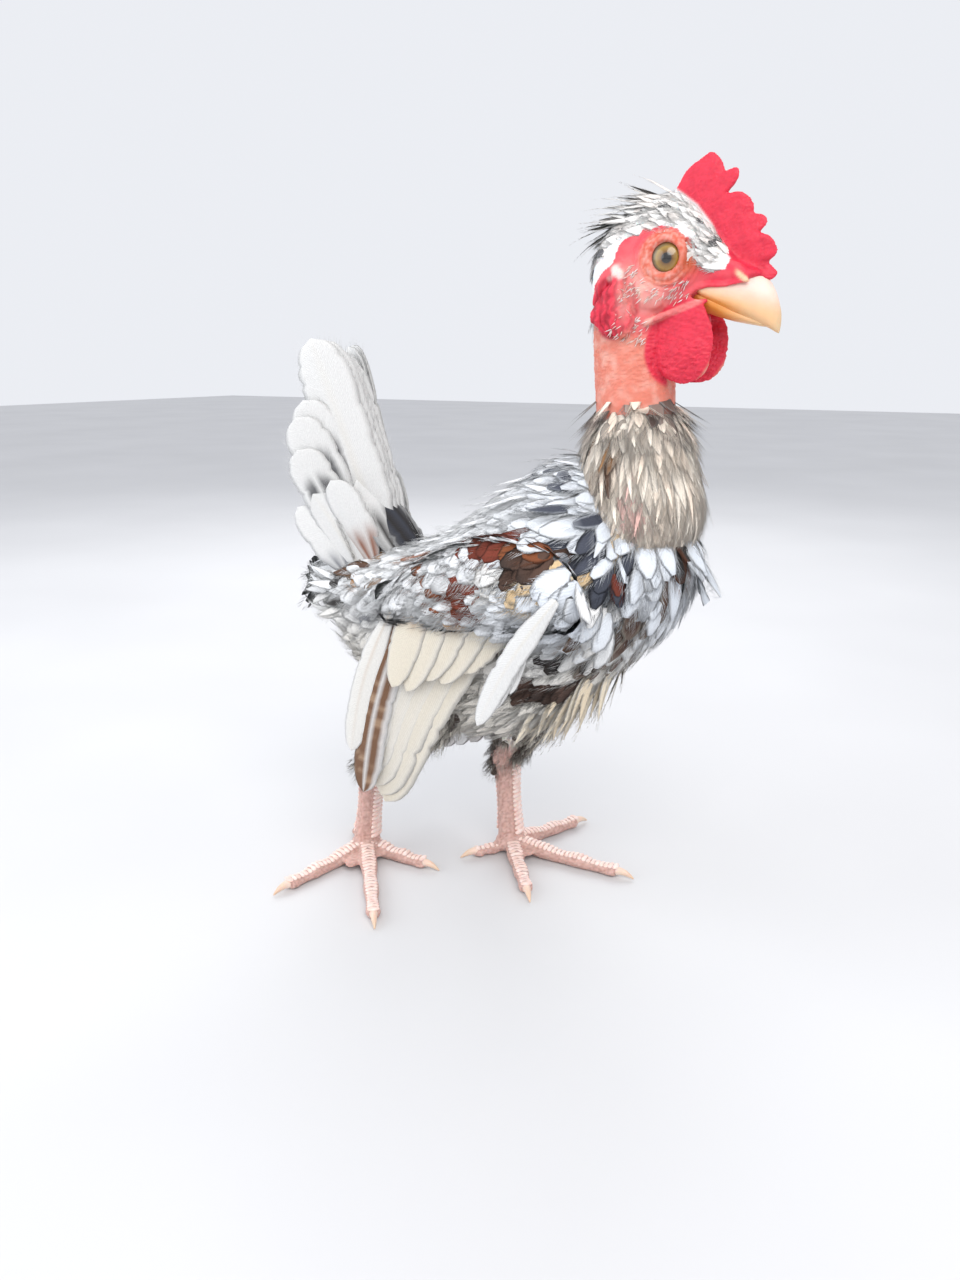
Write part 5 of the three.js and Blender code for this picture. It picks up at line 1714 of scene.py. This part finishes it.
def head_coat():
    """The cap of the head, its crest and the nape."""
    def on_cap(*p):
        return above_cap_edge(np.stack(p, 1), 0.7)

    def at_crest(*p):
        _, x, z, side = head_sides(np.stack(p, 1))
        return above_cap_edge(np.stack(p, 1)) & (x < 0.5) & (z > 4) & (side < 6.5)

    def on_nape(x, y, z):
        return (x < 57) & (z > 169) & (np.abs(y) < 8)

    look = {"outline": LANCE, "fray": 8, "mark": cap_marks}
    cap = coat(skull, on_cap, cap_flow, 1300, 6.5, 3.2, 0.4, 0.6, 61, inner=0.65, body=0.85,
               camber=0.03, fine=0.14, **look)
    crest = coat(skull, at_crest, cap_flow, 700, 9.5, 3.0, 0.5, 5.2, 63, rows=7, inner=0.55,
                 body=0.75, camber=0.06, fine=0.13, stray=0.12, hook=1.3, **look)
    nape = coat(neck, on_nape, down_flow, 1500, 7, 3.2, 0.4, 0.9, 65, rows=5, inner=0.6, body=0.8,
                camber=0.06, fine=0.13, **look)
    return cap + crest + nape


BRISTLES = 150            # on each side of the face


def face_bristles(skin):
    """Fine short bristles below and behind the eyes and at the throat, laid back on the skin."""
    draw = np.random.default_rng(69)
    points, normals = coords(skin), normals_of(skin)
    local, x, z, side = head_sides(points)
    cheek = (x > -3.5) & (x < 12) & (z < -1) & (z > -9 + 0.25 * x) & (from_eye(x, z) > 6.3)
    throat = (x > -4) & (x < 5) & (z < -12) & (z > -18)
    near = (side > 5) & (points[:, 2] > 150) & (cheek | throat)
    groups, n = [], BRISTLES
    for face in (RIGHT, LEFT):
        chosen = draw.choice(np.flatnonzero(near & (local[:, 1] * face > 0)), n, replace=False)
        out = normals[chosen]
        way = np.array([-0.8, 0, -0.6]) + draw.normal(0, 0.3, (n, 3))
        way = unit(way - dot(way, out) * out)
        s = np.linspace(0, 1, 4)[None, :, None]
        length = draw.uniform(0.8, 2.2, n)
        spines = points[chosen][:, None] + way[:, None] * length[:, None, None] * s
        spines = spines + out[:, None] * (0.65 * s**0.8 - 0.15)
        main = mix(SNOW, colour("f2c9ba"), draw.random(n))
        place = np.clip(local[chosen][:, [0, 2]] / 60 + [0.5, 0.6], 0.01, 0.99)
        looks = looks_of(skull, length, place, draw, main, main, main, np.zeros(n))
        bristles = vanes(spines, np.repeat(out[:, None], 4, 1), np.full(n, 0.26), LANCE, 0.1, 0.14)
        groups.append((*bristles, looks))
    return groups


def thigh_marks(p, draw):
    n = len(p)
    left = p[:, 1] > 0
    dark = mix(UMBER, SOOT, draw.random(n))
    main = np.where((draw.random(n) < np.where(left, 0.85, 0.4))[:, None], dark,
                    mix(CREAM, ASH, draw.random(n) * 0.5))
    return main, mix(main, CREAM, 0.4), np.tile(CREAM, (n, 1)), np.where(draw.random(n) < 0.3, 0.8,
                                                                         0.0)


def thigh_coat():
    """Dark feathers round each thigh, with looser ones over them."""
    groups = []
    for k, leg in enumerate(LEGS.values()):
        form = thigh_form(leg)
        groups += coat(form, lambda x, y, z: z > 33, hanging_flow, 240, 9, 5.4, 1.6, 0.8, 71 + k,
                       fray=12, mark=thigh_marks, stray=0.3)
        groups += coat(form, lambda x, y, z: z > 35, hanging_flow, 120, 9, 4.8, 1.6, 2.0, 75 + k,
                       rows=5, outline=LANCE,
                       body=0.5, fray=10, inner=0.2, mark=thigh_marks, stray=0.3)
    return groups


def arm_coat(side):
    """The small feathers on the outer face of a wing's arm."""
    return coat(wing_arm(side), lambda x, y, z: (side * y > WING_FACE + 3.4) & (x > 8), wing_flow,
                520, 12.5, 7.0, 1.2, 0.5, 81 + side, inner=0.74, body=0.92)


# Beak, eyes and claws. x, top, bottom, half width, height share of the widest level
BEAK_UPPER = [
    (11, 0.3, -3.7, 4.4, 0.3), (14, 2.2, -4.9, 5.9, 0.26), (17, 4.0, -5.6, 5.7, 0.24),
    (21, 4.6, -6.2, 4.9, 0.24),
    (24, 4.5, -6.6, 4.1, 0.26), (26.5, 3.6, -6.9, 3.4, 0.28), (29, 1.8, -7.1, 2.6, 0.3),
    (31.2, -0.9, -7.4, 1.8, 0.34),
    (32.8, -3.7, -7.8, 1.0, 0.4), (33.5, -6.0, -7.9, 0.45, 0.5), (33.7, -7.2, -7.95, 0.15, 0.5),
]
BEAK_LOWER = [
    (10.5, -3, -7.2, 3.9, 0.7), (14, -3.4, -7.6, 5.0, 0.75), (19, -4.2, -7.9, 4.4, 0.7),
    (23, -5.0, -7.9, 3.2, 0.6),
    (27, -5.8, -7.6, 2.1, 0.6), (30, -6.3, -7.3, 0.9, 0.6), (30.8, -6.5, -7.1, 0.3, 0.6),
]


def horn_piece(name, verts, faces, tint, node):
    obj = mesh_object(name, *outward(verts, faces))
    paint(obj, tint(coords(obj)))
    obj.data.materials.append(HORN)
    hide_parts(node)
    return obj


def beak_tint(points):
    local = to_head(points)
    x, z = local[:, 0], local[:, 2]
    tint = mix(colour("efd3c6"), colour("eec08f"), step(1.0, -5, z))
    tint = mix(tint, colour("ee9a3e"), step(-2.4, -5.0, z) * (1 - step(18, 28, x)) * 0.95)
    tint = mix(tint, colour("f6dccb"), step(24, 28, x) * step(-2, 1.5, z) * 0.7)
    return mix(tint, colour("d9bd96"), step(31, 33.6, x) * 0.8) * 0.88


# Place along a claw, height over the floor and half thickness
CLAW = [(-0.12, 2.0, 1.35), (0, 2.1, 1.45), (0.3, 2.2, 1.2), (0.6, 1.85, 0.9), (0.85, 1.2, 0.5),
        (1, 0.7, 0.22)]


def claw_piece(side, toe):
    places, _, way = toe_path(LEGS[side], toe)
    end = places[-1]
    knots = [(*(end + way * t * CLAW_LENGTH)[:2], height, thick * 0.85, thick)
             for t, height, thick in CLAW]
    verts, faces = hose(knots, (0, 0, 1), 20, 14)
    verts[:, 2] = np.maximum(verts[:, 2], 0)

    def tint(points):
        out = np.clip(((points - end) @ way) / CLAW_LENGTH, 0, 1)
        return mix(colour("ecd2c4"), colour("d6b79a"), out)

    name = f"claw_{side}_{toe}"
    return horn_piece(name, verts, faces, tint, name)


EYE_TURN = 12             # degrees that an eye looks ahead of square to the side


def eye_piece(name, side):
    """A ball with a swollen cornea. Its map iris holds the distance from the eye's axis."""
    polar, around, shell = shell_of(60, 64, 0.03)
    cornea = 1 + 0.05 * np.clip(1 - np.sin(polar) / 0.62, 0,
                                1)[..., None] * (polar[..., None] < 1.5)
    verts, faces = tube_mesh(shell * cornea, np.array([[0, 1.05, 0], [0, -1.0, 0]]))
    out = np.where(polar < np.pi / 2, np.sin(polar), 1.0) + 0 * around
    way_round = 0 * polar + around / 2 / np.pi
    iris = np.stack([np.concatenate([out.ravel(), [0, 1]]),
                     np.concatenate([way_round.ravel(), [0, 0]])], 1)
    verts = (turned(verts, 0, 1, -EYE_TURN) * EYE_RADIUS + EYE_AT) * [1, side, 1]
    obj = mesh_object(name, *outward(from_head(verts), faces))
    lay_out(obj, "iris", iris)
    obj.data.materials.append(EYE)
    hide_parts(name)
    return obj


def build():
    """Makes every piece and gives each its slot, its nodes and its body."""
    skin = body_skin()
    skin.data.materials.clear()
    skin.data.materials.append(SKIN)
    skin.data.polygons.foreach_set("material_index", np.zeros(len(skin.data.polygons), np.int32))
    nodes = ["torso", "rump", "neck", "head", "comb"]
    for side in ("right", "left"):
        nodes += [part + side for part in ("wattle_", "earlobe_", "thigh_", "shank_", "foot_")]
    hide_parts(*nodes)
    pieces = [skin, scute_piece()]

    def coated(name, groups):
        pieces.append(feather_piece(name, groups, FEATHER))

    coated("coat_breast", body_coat(True))
    coated("coat_body", body_coat(False))
    coated("coat_mantle_right", mantle_coat(RIGHT))
    coated("coat_mantle_left", mantle_coat(LEFT))
    coated("coat_down", down_coat())
    coated("coat_tufts", tuft_coat())
    coated("coat_ruff", ruff_coat())
    coated("coat_head", head_coat())
    coated("coat_face", face_bristles(skin))
    coated("coat_thighs", thigh_coat())
    for name, side in (("right", RIGHT), ("left", LEFT)):
        coated("coat_wing_" + name, arm_coat(side))
        flights = wing_feathers(side)
        pieces += [flights, eye_piece("eye_" + name, side)]
        pieces += [claw_piece(name, toe) for toe in LEGS[name]["toes"]]
    tail = tail_feathers()
    pieces.append(tail)
    for name, rows in (("beak_upper", BEAK_UPPER), ("beak_lower", BEAK_LOWER)):
        pieces.append(horn_piece(name, *head_form(rows).closed(90, 40), beak_tint, name))
    for piece in pieces:
        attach(piece, "root")


def light(name, place, aim, size, power, tone):
    data = bpy.data.lights.new(name, "AREA")
    data.shape, data.size, data.energy, data.color = "DISK", size, power, tone
    lamp = linked(name, data)
    place, aim = Vector(placed(place)), Vector(placed(aim))
    lamp.location = place
    lamp.rotation_euler = (aim - place).to_track_quat("-Z", "Y").to_euler()


# Place, what it lights, size and power of each lamp, and its colour
LAMPS = {
    "key": ((380, -420, 620), (20, 0, 90), 0.6, 3.7, (1.0, 0.98, 0.95)),
    "fill": ((-520, -460, 320), (10, 0, 90), 0.9, 2.8, (0.94, 0.97, 1.0)),
    "rim": ((-260, 520, 560), (20, 0, 110), 0.5, 2.2, (1, 1, 1)),
}
ROOM_LIGHT = {"Color": (0.93, 0.95, 1.0, 1), "Strength": 0.9}


def set_stage():
    bpy.ops.mesh.primitive_plane_add(size=6)
    floor = bpy.context.object
    floor.name = "floor"
    floor.data.materials.append(FLOOR)
    for name, settings in LAMPS.items():
        light(name, *settings)
    world = bpy.data.worlds.new("soft room")
    world.use_nodes = True
    for key, value in ROOM_LIGHT.items():
        world.node_tree.nodes["Background"].inputs[key].default_value = value
    bpy.context.scene.world = world
    bpy.context.scene.view_settings.view_transform = "Standard"


CAMERA_AT = (156.9, -243.3, 158)
CAMERA_RIGHT = Vector((0.866, 0.5, 0))
CAMERA_AHEAD = Vector((-0.4798, 0.8310, -0.2815))


def set_camera():
    """The photograph's viewpoint: at wattle height, to the right and ahead, turned 30 degrees."""
    data = bpy.data.cameras.new("camera")
    data.lens, data.sensor_width, data.clip_start = 27.03, 36, 0.01
    camera = linked("camera", data)
    up = CAMERA_RIGHT.cross(CAMERA_AHEAD)
    camera.rotation_euler = Matrix((CAMERA_RIGHT, up, -CAMERA_AHEAD)).transposed().to_euler()
    camera.location = Vector(placed(CAMERA_AT))
    bpy.context.scene.camera = camera


build()
set_stage()
set_camera()
